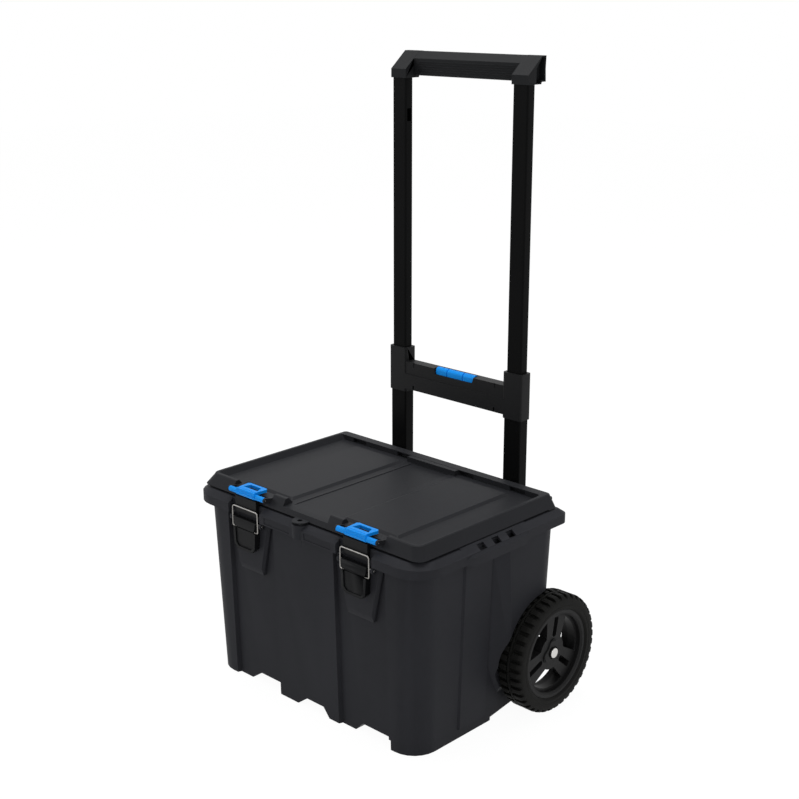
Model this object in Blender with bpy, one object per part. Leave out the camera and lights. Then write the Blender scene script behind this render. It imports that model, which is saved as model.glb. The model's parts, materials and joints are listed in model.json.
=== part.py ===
"""Rolling toolbox: a lidded tub on two wheels with a telescopic pull handle.

Metres, +Z up, +Y towards the handle, +X to the right of someone facing the latches.
Every Y below is measured from the middle of the lid. The finished pieces are then moved
by CENTRE_SHIFT, so that the origin lies on the floor under the middle of the toolbox.
"""
import math

import bmesh
import bpy
from mathutils import Matrix, Vector

# Clearances
FIT_GAP = 0.0003
SLIDE_GAP = 0.0004
MERGE_DISTANCE = 0.000002
MERGE_OVERLAP = 0.0009
FLAT_ANGLE = 0.0001
REACH = 0.05
ROUND_STEPS = 16

# Tub
TUB_HALF_WIDTH_TOP = 0.250
TUB_HALF_WIDTH_FOOT = 0.2395
TUB_FRONT_TOP = -0.1665
TUB_FRONT_FOOT = -0.1580
TUB_REAR_TOP = 0.1635
TUB_REAR_FOOT = 0.1575
TUB_CORNER_RADIUS = 0.044
TUB_WALL = 0.0032
TUB_FLOOR = 0.0035
FOOT_HEIGHT = 0.0165
MOUTH_HALF_WIDTH = 0.230
MOUTH_HALF_DEPTH = 0.144
MOUTH_RADIUS = 0.014
MOUTH_FLANGE = 0.0095

# Rim band round the mouth
RIM_HALF_WIDTH = 0.266
RIM_HALF_DEPTH = 0.1785
RIM_RADIUS = 0.050
RIM_REAR_RADIUS = 0.017
RIM_BOTTOM = 0.308
RIM_SHOULDER = 0.323
RIM_TOP = 0.331
RIM_CHAMFER = 0.012

# Recessed panels of the front and the latch bases that stand in them
RECESS_INNER = 0.0705
RECESS_OUTER = 0.1830
RECESS_DEPTH = 0.0065
RECESS_SLOPE = 0.0025
LATCH_X = 0.128
BASE_TOP_HALF = 0.0510
BASE_FOOT_HALF = 0.0275
BASE_FOOT_Z = 0.2085
BASE_BEVEL = 0.0045
BASE_FOOT_BEVEL = 0.0130
BASE_FRONT = -0.1672
LATCH_BAY_HALF = 0.0390

# Feet: the channels between them, as start, end and sloped run at either side
FOOT_CHANNELS = (
    (-0.1500, 0.0220, -0.0755, 0.0000),
    (-0.0270, 0.0220, 0.0480, 0.0135),
    (0.1030, 0.0160, 0.1870, 0.0000),
)
FOOT_STEP_Y = 0.0185
FOOT_STEP_RISE = 0.006
FOOT_RISE_END_Y = 0.074
FOOT_RISE_END = 0.014

# Side walls
SIDE_PANEL_START = -0.0600
SIDE_PANEL_END = 0.0015
SIDE_PANEL_PROUD = 0.0030
RAMP_START = 0.0050
FENDER_START = 0.0320
FENDER_HALF_WIDTH_TOP = 0.2620
FENDER_HALF_WIDTH_FOOT = 0.2720
FENDER_REAR_TOP = 0.1651
FENDER_REAR_FOOT = 0.1373
FENDER_FOOT_Z = 0.100
FENDER_TIP_Z = 0.045
REAR_STEP_Y = 0.098
REAR_STEP_Z = 0.114

# Carry grips in the sides of the rim
SIDE_GRIP_HALF_LENGTH = 0.0620
SIDE_GRIP_TOP_HALF_LENGTH = 0.0765
SIDE_GRIP_OUT = 0.2705
SIDE_GRIP_TOP_X = 0.2540
SIDE_GRIP_SEAM = 0.0005
SIDE_GRIP_EDGE_Z = 0.3185
SIDE_GRIP_FOOT_Z = 0.3035
SIDE_GRIP_WALL = 0.0032
SIDE_GRIP_WINDOWS = 3
SIDE_GRIP_PITCH = 0.0345
SIDE_GRIP_WINDOW_LENGTH = 0.0155
SIDE_GRIP_WINDOW_HEIGHT = 0.0120
SIDE_GRIP_WINDOW_RISE = 0.0020
SIDE_GRIP_WINDOW_REACH = 0.0050

# Padlock eye at the middle of the front
PADLOCK_HALF_WIDTH = 0.0150
PADLOCK_FRONT = -0.1825
PADLOCK_HOLE_RADIUS = 0.0042
PADLOCK_HOLE_Y = -0.1700
PADLOCK_FOOT_Z = 0.3080

# Lid
LID_HALF_WIDTH = 0.2405
LID_FRONT = -0.1545
LID_REAR = 0.1640
LID_RADIUS = 0.016
LID_REAR_RADIUS = 0.009
LID_SKIRT_BOTTOM = 0.3330
LID_TOP = 0.3537
LID_EDGE_ROUND = 0.0030
LID_FIELD = 0.3445
LID_PANEL_THICKNESS = 0.0030
LID_SKIRT_WALL = 0.0035
LID_SIDE_LEAN = 0.0120
LID_FRONT_LEAN = 0.0100
BORDER_SIDE = 0.0160
BORDER_FRONT = 0.0160
BORDER_REAR = 0.0200
BORDER_SLOPE = 0.0080
PAD_INNER = 0.0570
PAD_OUTER = 0.1800
PAD_RISE = 0.0030
PAD_SLOPE = 0.0060
PAD_MARGIN = 0.0030
OUTLET_HALF = 0.0520
OUTLET_DROP = 0.0020
REAR_BLOCK_HALF = 0.0555
REAR_BLOCK_DEPTH = 0.0100
REAR_NOTCHES = ((-0.2005, -0.1675), (-0.0890, -0.0565), (0.0565, 0.0890), (0.1675, 0.2005))
REAR_NOTCH_DEPTH = 0.0070
GASKET_WIDTH = 0.0025
GASKET_INSET = 0.0012

# Lid hinge
HINGE_Y = 0.1715
HINGE_Z = 0.3385
HINGE_ROD_RADIUS = 0.0022
KNUCKLE_RADIUS = 0.0055
TUB_KNUCKLES = ((-0.231, -0.2165), (-0.104, -0.0685), (-0.030, 0.030), (0.0685, 0.104), (0.2165, 0.231))
LID_KNUCKLES = ((-0.2155, -0.190), (-0.0675, -0.031), (0.031, 0.0675), (0.190, 0.2155))

# Draw latches
LEVER_PIVOT_Y = -0.1715
LEVER_PIVOT_Z = 0.3000
LEVER_HALF_WIDTH = 0.0270
LEVER_FOOT_HALF_WIDTH = 0.0255
LEVER_CHAMFER = 0.0080
LEVER_FRONT = -0.1790
LEVER_BACK = -0.1690
LEVER_FOOT_Z = 0.2500
LEVER_NOSE_RADIUS = 0.0042
LEVER_FRAME = 0.0045
LEVER_PANEL_DEPTH = 0.0020
PIN_RADIUS = 0.0020
EAR_INNER = 0.0335
EAR_THICKNESS = 0.0050
BAIL_WIRE_RADIUS = 0.0015
BAIL_HALF_WIDTH = 0.0310
BAIL_PIVOT_Y = -0.1758
BAIL_PIVOT_Z = 0.2870
BAIL_TOP_Z = 0.3225
BAIL_CORNER = 0.0045
BAIL_BEND = 0.0024
KEEPER_HALF_WIDTH = 0.0260
KEEPER_BACK = -0.1680
KEEPER_FOOT_Z = 0.3120
KEEPER_TOP_Z = 0.3405
KEEPER_ARM_Z = 0.3345
KEEPER_LEAN = 0.0013
KEEPER_GAP = 0.0004

# Stacking latches
STACK_AXIS_Y = -0.1695
STACK_AXIS_Z = 0.3465
STACK_BARREL_RADIUS = 0.0045
STACK_HALF_WIDTH = 0.0425
STACK_PLATE_BOTTOM = 0.3495
STACK_PLATE_TOP = 0.3545
STACK_REAR_Y = -0.1445
STACK_REAR_HALF = 0.0205
STACK_SHOULDER_Y = -0.1475
STACK_SHOULDER_HALF = 0.0235
STACK_BODY_HALF = 0.0210
STACK_WINDOW_HALF = 0.0105
STACK_WINDOW = (-0.1605, -0.1505)
STACK_LUG_THICKNESS = 0.0035
STACK_PIN_RADIUS = 0.0016
STACK_BAY_HALF = 0.0475
STACK_BAY_REAR = -0.1400
STACK_BAY_FLOOR = 0.3470

# Pull handle
TUBE_X = 0.131
OUTER_TUBE = (0.0355, 0.0220)
OUTER_TUBE_WALL = 0.0012
OUTER_TUBE_FRONT = 0.1904
INNER_TUBE = (0.0305, 0.0182)
INNER_TUBE_WALL = 0.0012
INNER_TUBE_OVERLAP = 0.0080
TUBE_RADIUS = 0.0030
GLIDE_FOOT = 0.0032
TRAVEL_STOP = 0.0040
HANDLE_TRAVEL = 0.4400
LOCK_SLOT_HALF_HEIGHT = 0.0105
LOCK_SLOT_HALF_DEPTH = 0.0050

# Bridge between the outer tubes, with its collars
COLLAR = (0.0400, 0.0260)
COLLAR_SOCKET = 0.0330
COLLAR_SKIRT = 0.0060
COLLAR_NECK = 0.0245
COLLAR_RADIUS = 0.0040
BRIDGE_HEIGHT = 0.0495
BRIDGE_FRONT = 0.1885
BRIDGE_REAR = 0.2102
BRIDGE_WALL = 0.0030
BRIDGE_LEDGE_DROP = 0.0225
BRIDGE_LEDGE = 0.0015
COVER_THICKNESS = 0.0030
COVER_HALF_WIDTH = 0.1000
BUTTON_HALF_WIDTH = 0.0432
BUTTON_HEIGHT = 0.0162
BUTTON_STAND = 0.0017
BUTTON_POCKET_DEPTH = 0.0310
WINDOW_DROP = 0.0105
WINDOW_SPREAD = 0.35
SPRING_RADIUS = 0.0045
SPRING_WIRE = 0.0007
SPRING_TURNS = 6
BOLT_INNER = 0.0490
BOLT_DROP = 0.0105
BOLT_HALF_HEIGHT = 0.0060
BOLT_HALF_DEPTH = 0.0042
SCREW_RADIUS = 0.0016
SCREW_HEAD_RADIUS = 0.0036
SCREW_HEAD = 0.0022
SCREW_LENGTH = 0.0090
SCREW_BITE = 0.0088
COVER_SCREW_X = 0.0780
COVER_SCREW_RISE = 0.0100
SPRING_STEPS = 12

# Grip at the top of the handle
GRIP_HALF_ARM = 0.0168
GRIP_FRONT = 0.1904
GRIP_STOP = 0.0505
GRIP_SOCKET = 0.0130
GRIP_NOSE = 0.0147
GRIP_RIDGE_Y = 0.0340
GRIP_DEPTH = 0.0438
GRIP_WAIST = 0.0428
GRIP_HEIGHT = 0.0435
GRIP_BAR_Y = 0.0203
GRIP_BAR_RISE = 0.0035
GRIP_BAR_ROUND = 0.0015

# Handle brackets
BRACKET_HALF_WIDTH = 0.0240
BRACKET_WALL = 0.0040
UPPER_BRACKET = (0.3100, 0.3220)
FLANGE_HALF_WIDTH = 0.0345
FLANGE_THICKNESS = 0.0050
FLANGE_SCREW_X = 0.0290
LOWER_BRACKET_BOTTOM = 0.0260
LOWER_BRACKET_TOP = 0.1300
LOWER_WEB = (0.0780, 0.1137)
LOWER_WEB_FRONT = 0.1080
WEB_SCREW_X = 0.0140
WEB_SCREW_Y = 0.1330

# Wheels
WHEEL_RADIUS = 0.1005
WHEEL_Y = 0.120
WHEEL_OUTER = 0.2965
TYRE_WIDTH = 0.047
TYRE_SEAT_RADIUS = 0.0750
TREAD_SHOULDER = 0.0090
RIM_INNER_RADIUS = 0.0670
RIM_INSET = 0.0030
DISC_RECESS = 0.0130
DISC_THICKNESS = 0.0150
HUB_RADIUS = 0.0160
HUB_STAND = 0.0007
WHEEL_STEPS = 48
SPOKES = 3
WINDOW_ANGLE = 20.0
WINDOW_HALF_ANGLES = (22.0, 37.0)
WINDOW_RADII = (0.0300, 0.0620)
SLOT_HALF_WIDTH = 0.0050
SLOT_RADII = (0.0260, 0.0600)
HUB_PLATE_RADIUS = 0.0190
HUB_PLATE_LOBE = 0.0045
HUB_PLATE_THICKNESS = 0.0025
HUB_PLATE_EDGE = 0.0009
AXLE_RADIUS = 0.0050
AXLE_STAND = 0.0055
AXLE_LUG_ROOT = 0.0095
AXLE_LUG_INSET = 0.0015
AXLE_LUG_RADIUS = 0.0120
WASHER_RADIUS = 0.0110
PUSH_NUT_RADIUS = 0.0085
PUSH_NUT_THICKNESS = 0.0035
POCKET_GAP = 0.0025
WHEEL_RUN = 0.0020

# Values that follow from the ones above
SIDE_GRIP_TOP_Z = LID_SKIRT_BOTTOM - SIDE_GRIP_SEAM
POCKET_INNER = WHEEL_OUTER - TYRE_WIDTH - WHEEL_RUN
DISC_OUTER = WHEEL_OUTER - DISC_RECESS
HUB_INNER = POCKET_INNER + HUB_STAND
AXLE_HALF_LENGTH = DISC_OUTER + AXLE_STAND
AXLE_LUG = (min(POCKET_INNER, TUB_HALF_WIDTH_FOOT) - AXLE_LUG_ROOT, POCKET_INNER - AXLE_LUG_INSET)
OUTER_TUBE_BOTTOM = LOWER_BRACKET_BOTTOM + BRACKET_WALL
INNER_TUBE_BOTTOM = OUTER_TUBE_BOTTOM + TRAVEL_STOP + HANDLE_TRAVEL
OUTER_TUBE_TOP = INNER_TUBE_BOTTOM + INNER_TUBE_OVERLAP
COLLAR_BOTTOM = OUTER_TUBE_TOP - COLLAR_SOCKET
BRIDGE_BOTTOM = COLLAR_BOTTOM + COLLAR_SKIRT
BRIDGE_TOP = BRIDGE_BOTTOM + BRIDGE_HEIGHT
BRIDGE_LEDGE_Z = BRIDGE_TOP - BRIDGE_LEDGE_DROP
COLLAR_TOP = BRIDGE_TOP + COLLAR_NECK
BUTTON_TOP = BRIDGE_TOP + BUTTON_STAND
BUTTON_BOTTOM = BUTTON_TOP - BUTTON_HEIGHT
BUTTON_POCKET_FLOOR = BRIDGE_TOP - BUTTON_POCKET_DEPTH
WINDOW_SILL = BRIDGE_TOP - WINDOW_DROP
LOCK_Z = BRIDGE_TOP - BOLT_DROP
COVER_SCREWS = tuple((x, BRIDGE_BOTTOM + COVER_SCREW_RISE) for x in (-COVER_SCREW_X, COVER_SCREW_X))
GRIP_FOOT = BRIDGE_TOP + HANDLE_TRAVEL + GRIP_STOP
GRIP_BREAK = GRIP_FOOT + GRIP_NOSE
GRIP_TOP = GRIP_FOOT + GRIP_HEIGHT
GRIP_BAR_BOTTOM = GRIP_FOOT + GRIP_BAR_RISE
INNER_TUBE_TOP = GRIP_FOOT + GRIP_SOCKET
CENTRE_SHIFT = -(GRIP_FRONT + GRIP_DEPTH + PADLOCK_FRONT) / 2
TUBE_Y = OUTER_TUBE_FRONT + OUTER_TUBE[1] / 2
BAIL_FACE = BAIL_PIVOT_Y + BAIL_WIRE_RADIUS + KEEPER_GAP
SIDES = (("left", -1), ("right", 1))


def clear_scene():
    for item in list(bpy.data.objects):
        bpy.data.objects.remove(item)


def material(name, colour, roughness, metallic=0.0):
    """One Principled material."""
    made = bpy.data.materials.new(name)
    made.use_nodes = True
    shader = made.node_tree.nodes["Principled BSDF"]
    shader.inputs["Base Color"].default_value = (*colour, 1.0)
    shader.inputs["Roughness"].default_value = roughness
    shader.inputs["Metallic"].default_value = metallic
    made.diffuse_color = (*colour, 1.0)
    return made


# Solids

def solid(points, faces):
    """A closed mesh object with its faces pointing out."""
    mesh = bpy.data.meshes.new("solid")
    mesh.from_pydata([tuple(point) for point in points], [], faces)
    work = bmesh.new()
    work.from_mesh(mesh)
    bmesh.ops.connect_verts_nonplanar(work, angle_limit=FLAT_ANGLE, faces=work.faces)
    bmesh.ops.recalc_face_normals(work, faces=work.faces)
    work.to_mesh(mesh)
    work.free()
    made = bpy.data.objects.new("solid", mesh)
    bpy.context.scene.collection.objects.link(made)
    return made


def loft(sections):
    """A solid through sections of as many points each, closed at both ends."""
    count = len(sections[0])
    points = [point for section in sections for point in section]
    faces = [tuple(range(count)), tuple(range(len(points) - count, len(points)))]
    for level in range(len(sections) - 1):
        base = level * count
        for index in range(count):
            after = (index + 1) % count
            faces.append((base + index, base + after, base + count + after, base + count + index))
    return solid(points, faces)


def lifted(outline, axis, value):
    """Places an outline of two coordinates on a plane across an axis."""
    if axis == "x":
        return [(value, a, b) for a, b in outline]
    if axis == "y":
        return [(a, value, b) for a, b in outline]
    return [(a, b, value) for a, b in outline]


def prism(outline, axis, low, high):
    return loft([lifted(outline, axis, low), lifted(outline, axis, high)])


def block(x, y, z):
    outline = ((x[0], y[0]), (x[1], y[0]), (x[1], y[1]), (x[0], y[1]))
    return prism(outline, "z", z[0], z[1])


def arc(centre, radius, start, end, steps):
    """Points along an arc, both ends included, angles in degrees."""
    points = []
    for step in range(steps + 1):
        angle = math.radians(start + (end - start) * step / steps)
        points.append((centre[0] + radius * math.cos(angle), centre[1] + radius * math.sin(angle)))
    return points


def circle(centre, radius, steps=ROUND_STEPS):
    return arc(centre, radius, 0, 360, steps)[:-1]


def rod(axis, centre, radius, low, high, steps=ROUND_STEPS):
    return prism(circle(centre, radius, steps), axis, low, high)


def rounded(x, y, radius, steps=6, rear_radius=None):
    """A rectangle with round corners, from its limits in two directions."""
    rear = radius if rear_radius is None else rear_radius
    points = arc((x[1] - radius, y[0] + radius), radius, -90, 0, steps)
    points += arc((x[1] - rear, y[1] - rear), rear, 0, 90, steps)
    points += arc((x[0] + rear, y[1] - rear), rear, 90, 180, steps)
    points += arc((x[0] + radius, y[0] + radius), radius, 180, 270, steps)
    return points


def frame_ring(outer, inner, low, high):
    """A closed ring between two outlines of as many points each, standing along Z."""
    corners = ((outer, low), (outer, high), (inner, high), (inner, low))
    loops = [lifted(outline, "z", z) for outline, z in corners]
    count = len(outer)
    points = [point for loop in loops for point in loop]
    faces = []
    for level in range(4):
        base = level * count
        other = (level + 1) % 4 * count
        for index in range(count):
            after = (index + 1) % count
            faces.append((base + index, base + after, other + after, other + index))
    return solid(points, faces)


def turned(profile, centre, steps):
    """A ring turned about an axis along X from a closed profile of (x, radius)."""
    points = []
    for step in range(steps):
        angle = 2 * math.pi * step / steps
        for along, radius in profile:
            y = centre[0] + radius * math.cos(angle)
            points.append((along, y, centre[1] + radius * math.sin(angle)))
    count = len(profile)
    faces = []
    for step in range(steps):
        base = step * count
        other = (step + 1) % steps * count
        for index in range(count):
            after = (index + 1) % count
            faces.append((base + index, base + after, other + after, other + index))
    return solid(points, faces)


def swept(path, radius, sides):
    """A round wire along a path, with flat ends."""
    path = [Vector(point) for point in path]
    rings = []
    normal = None
    for index, point in enumerate(path):
        before = path[max(index - 1, 0)]
        after = path[min(index + 1, len(path) - 1)]
        along = (after - before).normalized()
        if normal is None:
            helper = Vector((0, 1, 0)) if abs(along.y) < 0.9 else Vector((1, 0, 0))
            normal = along.cross(helper).normalized()
        normal = (normal - along * normal.dot(along)).normalized()
        side = along.cross(normal)
        ring = []
        for step in range(sides):
            angle = 2 * math.pi * step / sides
            ring.append(point + normal * (radius * math.cos(angle)) + side * (radius * math.sin(angle)))
        rings.append(ring)
    return loft(rings)


def combine(target, tool, operation):
    """Applies one Boolean and removes the tool."""
    modifier = target.modifiers.new("combine", "BOOLEAN")
    modifier.operation = operation
    modifier.solver = "EXACT"
    modifier.object = tool
    graph = bpy.context.evaluated_depsgraph_get()
    mesh = bpy.data.meshes.new_from_object(target.evaluated_get(graph))
    target.modifiers.clear()
    target.data = mesh
    bpy.data.objects.remove(tool)
    return target


def cut(target, *tools):
    for tool in tools:
        combine(target, tool, "DIFFERENCE")
    return target


def join(target, *tools):
    for tool in tools:
        combine(target, tool, "UNION")
    return target


def mirrored(outline):
    """The same outline on the other side of X = 0."""
    return [(-a, b) for a, b in outline]


def sided(outline, side):
    return list(outline) if side > 0 else mirrored(outline)


def finish(made, name, look, pivot=(0.0, 0.0, 0.0)):
    """Names a piece, gives it its material and puts its origin on its pivot."""
    work = bmesh.new()
    work.from_mesh(made.data)
    bmesh.ops.remove_doubles(work, verts=work.verts, dist=MERGE_DISTANCE)
    bmesh.ops.dissolve_degenerate(work, edges=work.edges, dist=MERGE_DISTANCE)
    bmesh.ops.translate(work, verts=work.verts, vec=-Vector(pivot))
    work.to_mesh(made.data)
    work.free()
    made.name = name
    made.data.name = name
    made.data.materials.clear()
    made.data.materials.append(look)
    made.data.shade_smooth()
    made.data.set_sharp_from_angle(angle=math.radians(32))
    made.location = Vector(pivot) + Vector((0.0, CENTRE_SHIFT, 0.0))
    return made


# Tub

def share(z):
    """How far up the tub wall a height lies, from 0 at the floor to 1 under the rim."""
    return z / RIM_BOTTOM


def side_at(z):
    return TUB_HALF_WIDTH_FOOT + (TUB_HALF_WIDTH_TOP - TUB_HALF_WIDTH_FOOT) * share(z)


def front_at(z):
    return TUB_FRONT_FOOT + (TUB_FRONT_TOP - TUB_FRONT_FOOT) * share(z)


def rear_at(z):
    return TUB_REAR_FOOT + (TUB_REAR_TOP - TUB_REAR_FOOT) * share(z)


def tub_section(z, inset=0.0):
    outline = rounded(
        (-side_at(z) + inset, side_at(z) - inset),
        (front_at(z) + inset, rear_at(z) - inset),
        TUB_CORNER_RADIUS - inset,
    )
    return lifted(outline, "z", z)


def tapered(outline_at, low, high):
    """A solid that follows the lean of the tub walls between two heights."""
    return loft([lifted(outline_at(low), "z", low), lifted(outline_at(high), "z", high)])


def rim_section(inset, z):
    outline = rounded(
        (-RIM_HALF_WIDTH + inset, RIM_HALF_WIDTH - inset),
        (-RIM_HALF_DEPTH + inset, RIM_HALF_DEPTH - inset),
        RIM_RADIUS - inset, rear_radius=RIM_REAR_RADIUS - inset,
    )
    return lifted(outline, "z", z)


def between(low, high, z):
    """A value that changes evenly from the fender's foot to the rim."""
    return low + (high - low) * (z - FENDER_FOOT_Z) / (RIM_BOTTOM - FENDER_FOOT_Z)


def fender(side, z, grow):
    """Outline of the box over a wheel at one height. It runs out into the wall at its tip."""
    out = between(FENDER_HALF_WIDTH_FOOT, FENDER_HALF_WIDTH_TOP, z)
    if z < FENDER_FOOT_Z:
        out = side_at(z) - TUB_WALL / 2
    out += grow
    end = between(FENDER_REAR_FOOT, FENDER_REAR_TOP, z) + grow
    radius = TUB_CORNER_RADIUS + grow
    inner = out - radius - TUB_WALL
    corner = arc((out - radius, end - radius), radius, 0, 90, 6)[:-1]
    root = side_at(z) - TUB_WALL / 4 + grow
    outline = [(inner, RAMP_START - grow), (root, RAMP_START - grow)]
    outline.append((max(out, root + FIT_GAP), FENDER_START - grow))
    return sided(outline + corner + [(out - radius, end), (inner, end)], side)


def recess(side, z, grow):
    """Outline of a recessed front panel at one height."""
    face = front_at(z)
    depth = RECESS_DEPTH + grow
    lead = RECESS_SLOPE * (REACH + depth) / depth
    inner = RECESS_INNER - grow + RECESS_SLOPE
    outer = RECESS_OUTER + grow - RECESS_SLOPE
    return sided((
        (inner - lead, face - REACH), (inner, face + depth),
        (outer, face + depth), (outer + lead, face - REACH),
    ), side)


def side_panel(side, z):
    """Outline of the flat raised panel in a side wall at one height."""
    out = side_at(z)
    root = out - TUB_WALL / 2
    return sided((
        (root, SIDE_PANEL_START - SIDE_PANEL_PROUD), (out, SIDE_PANEL_START - SIDE_PANEL_PROUD),
        (out + SIDE_PANEL_PROUD, SIDE_PANEL_START), (out + SIDE_PANEL_PROUD, SIDE_PANEL_END),
        (root, SIDE_PANEL_END + SIDE_PANEL_PROUD),
    ), side)


def foot_channels(grow):
    tools = []
    for start, start_run, end, end_run in FOOT_CHANNELS:
        outline = (
            (start - grow, -REACH), (start - grow, 0.0), (start + start_run - grow, FOOT_HEIGHT + grow),
            (end - end_run + grow, FOOT_HEIGHT + grow), (end + grow, 0.0), (end + grow, -REACH),
        )
        tools.append(prism(outline, "y", -2 * RIM_HALF_DEPTH, 2 * RIM_HALF_DEPTH))
    return tools


def tub_body(low, high, grow):
    """The walls between two heights. A grow below 0 gives the room inside them."""
    carve = -grow
    body = loft([tub_section(low, carve), tub_section(high, carve)])
    for _, side in SIDES:
        cut(body, tapered(lambda z: recess(side, z, carve), -REACH, RIM_BOTTOM - FIT_GAP + carve))
        heights = (FENDER_TIP_Z, FENDER_FOOT_Z, RIM_BOTTOM + MERGE_OVERLAP - carve)
        join(body, loft([lifted(fender(side, z, grow), "z", z) for z in heights]))
    cut(body, *foot_channels(carve))
    behind = REAR_STEP_Y + REACH / 2
    wide = 2 * RIM_HALF_WIDTH
    lift = (
        (FOOT_STEP_Y - carve, -REACH), (FOOT_STEP_Y - carve, FOOT_STEP_RISE + carve),
        (FOOT_RISE_END_Y - carve, FOOT_RISE_END + carve),
        (behind, FOOT_RISE_END + FIT_GAP + carve), (behind, -REACH),
    )
    cut(body, prism(lift, "x", -wide, wide))
    cut(body, block((-wide, wide), (REAR_STEP_Y - carve, wide), (-REACH, REAR_STEP_Z + carve)))
    pocket = WHEEL_RADIUS + POCKET_GAP + carve
    for _, side in SIDES:
        low, high = sorted((side * (POCKET_INNER - carve), side * (WHEEL_OUTER + REACH)))
        cut(body, rod("x", (WHEEL_Y, WHEEL_RADIUS), pocket, low, high, WHEEL_STEPS))
    return body


def tub_shape():
    """The tub with its rim band and side panels, hollowed out."""
    top = RIM_TOP - MOUTH_FLANGE
    tub = tub_body(0.0, RIM_TOP - RIM_CHAMFER / 2, 0.0)
    heights = ((0.0, RIM_BOTTOM), (0.0, RIM_SHOULDER), (RIM_CHAMFER, RIM_TOP))
    join(tub, loft([rim_section(inset, z) for inset, z in heights]))
    for _, side in SIDES:
        join(tub, tapered(lambda z: side_panel(side, z), FOOT_HEIGHT, RIM_BOTTOM + TUB_WALL))
    room = tub_body(TUB_FLOOR, top, -TUB_WALL)
    wide, deep = MOUTH_HALF_WIDTH, MOUTH_HALF_DEPTH
    mouth = rounded((-wide, wide), (-deep, deep), MOUTH_RADIUS)
    join(room, prism(mouth, "z", top - TUB_WALL, RIM_TOP + REACH))
    return cut(tub, room)


def add_latch_base(tub, side):
    """The sloped base behind a draw latch, its bay in the rim and the ears for its pin."""
    centre = side * LATCH_X
    lip = BASE_BEVEL
    top = RIM_BOTTOM + FIT_GAP
    outline = (
        (centre - BASE_TOP_HALF, top), (centre - BASE_FOOT_HALF, BASE_FOOT_Z),
        (centre + BASE_FOOT_HALF, BASE_FOOT_Z), (centre + BASE_TOP_HALF, top),
    )
    front = (
        (centre - BASE_TOP_HALF + lip, top), (centre - BASE_FOOT_HALF, BASE_FOOT_Z + BASE_FOOT_BEVEL),
        (centre + BASE_FOOT_HALF, BASE_FOOT_Z + BASE_FOOT_BEVEL), (centre + BASE_TOP_HALF - lip, top),
    )
    back = [(x, front_at(z) + RECESS_DEPTH + TUB_WALL / 2, z) for x, z in outline]
    join(tub, loft([back, lifted(outline, "y", BASE_FRONT + lip), lifted(front, "y", BASE_FRONT)]))
    bay = (centre - LATCH_BAY_HALF, centre + LATCH_BAY_HALF)
    depth = (-RIM_HALF_DEPTH - REACH, BASE_FRONT - FIT_GAP)
    cut(tub, block(bay, depth, (RIM_BOTTOM - FIT_GAP, RIM_TOP + REACH)))
    for lean in (-1, 1):
        inner = centre + lean * EAR_INNER
        outer = centre + lean * (EAR_INNER + EAR_THICKNESS)
        ear = arc((LEVER_PIVOT_Y, LEVER_PIVOT_Z), LEVER_NOSE_RADIUS + PIN_RADIUS / 2, 90, 270, 8)
        ear += [(BASE_FRONT + TUB_WALL / 2, ear[-1][1]), (BASE_FRONT + TUB_WALL / 2, ear[0][1])]
        join(tub, prism(ear, "x", min(inner, outer), max(inner, outer)))
    reach = EAR_INNER + EAR_THICKNESS + FIT_GAP
    hole = rod("x", (LEVER_PIVOT_Y, LEVER_PIVOT_Z), PIN_RADIUS + SLIDE_GAP, centre - reach, centre + reach)
    return cut(tub, hole)


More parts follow.
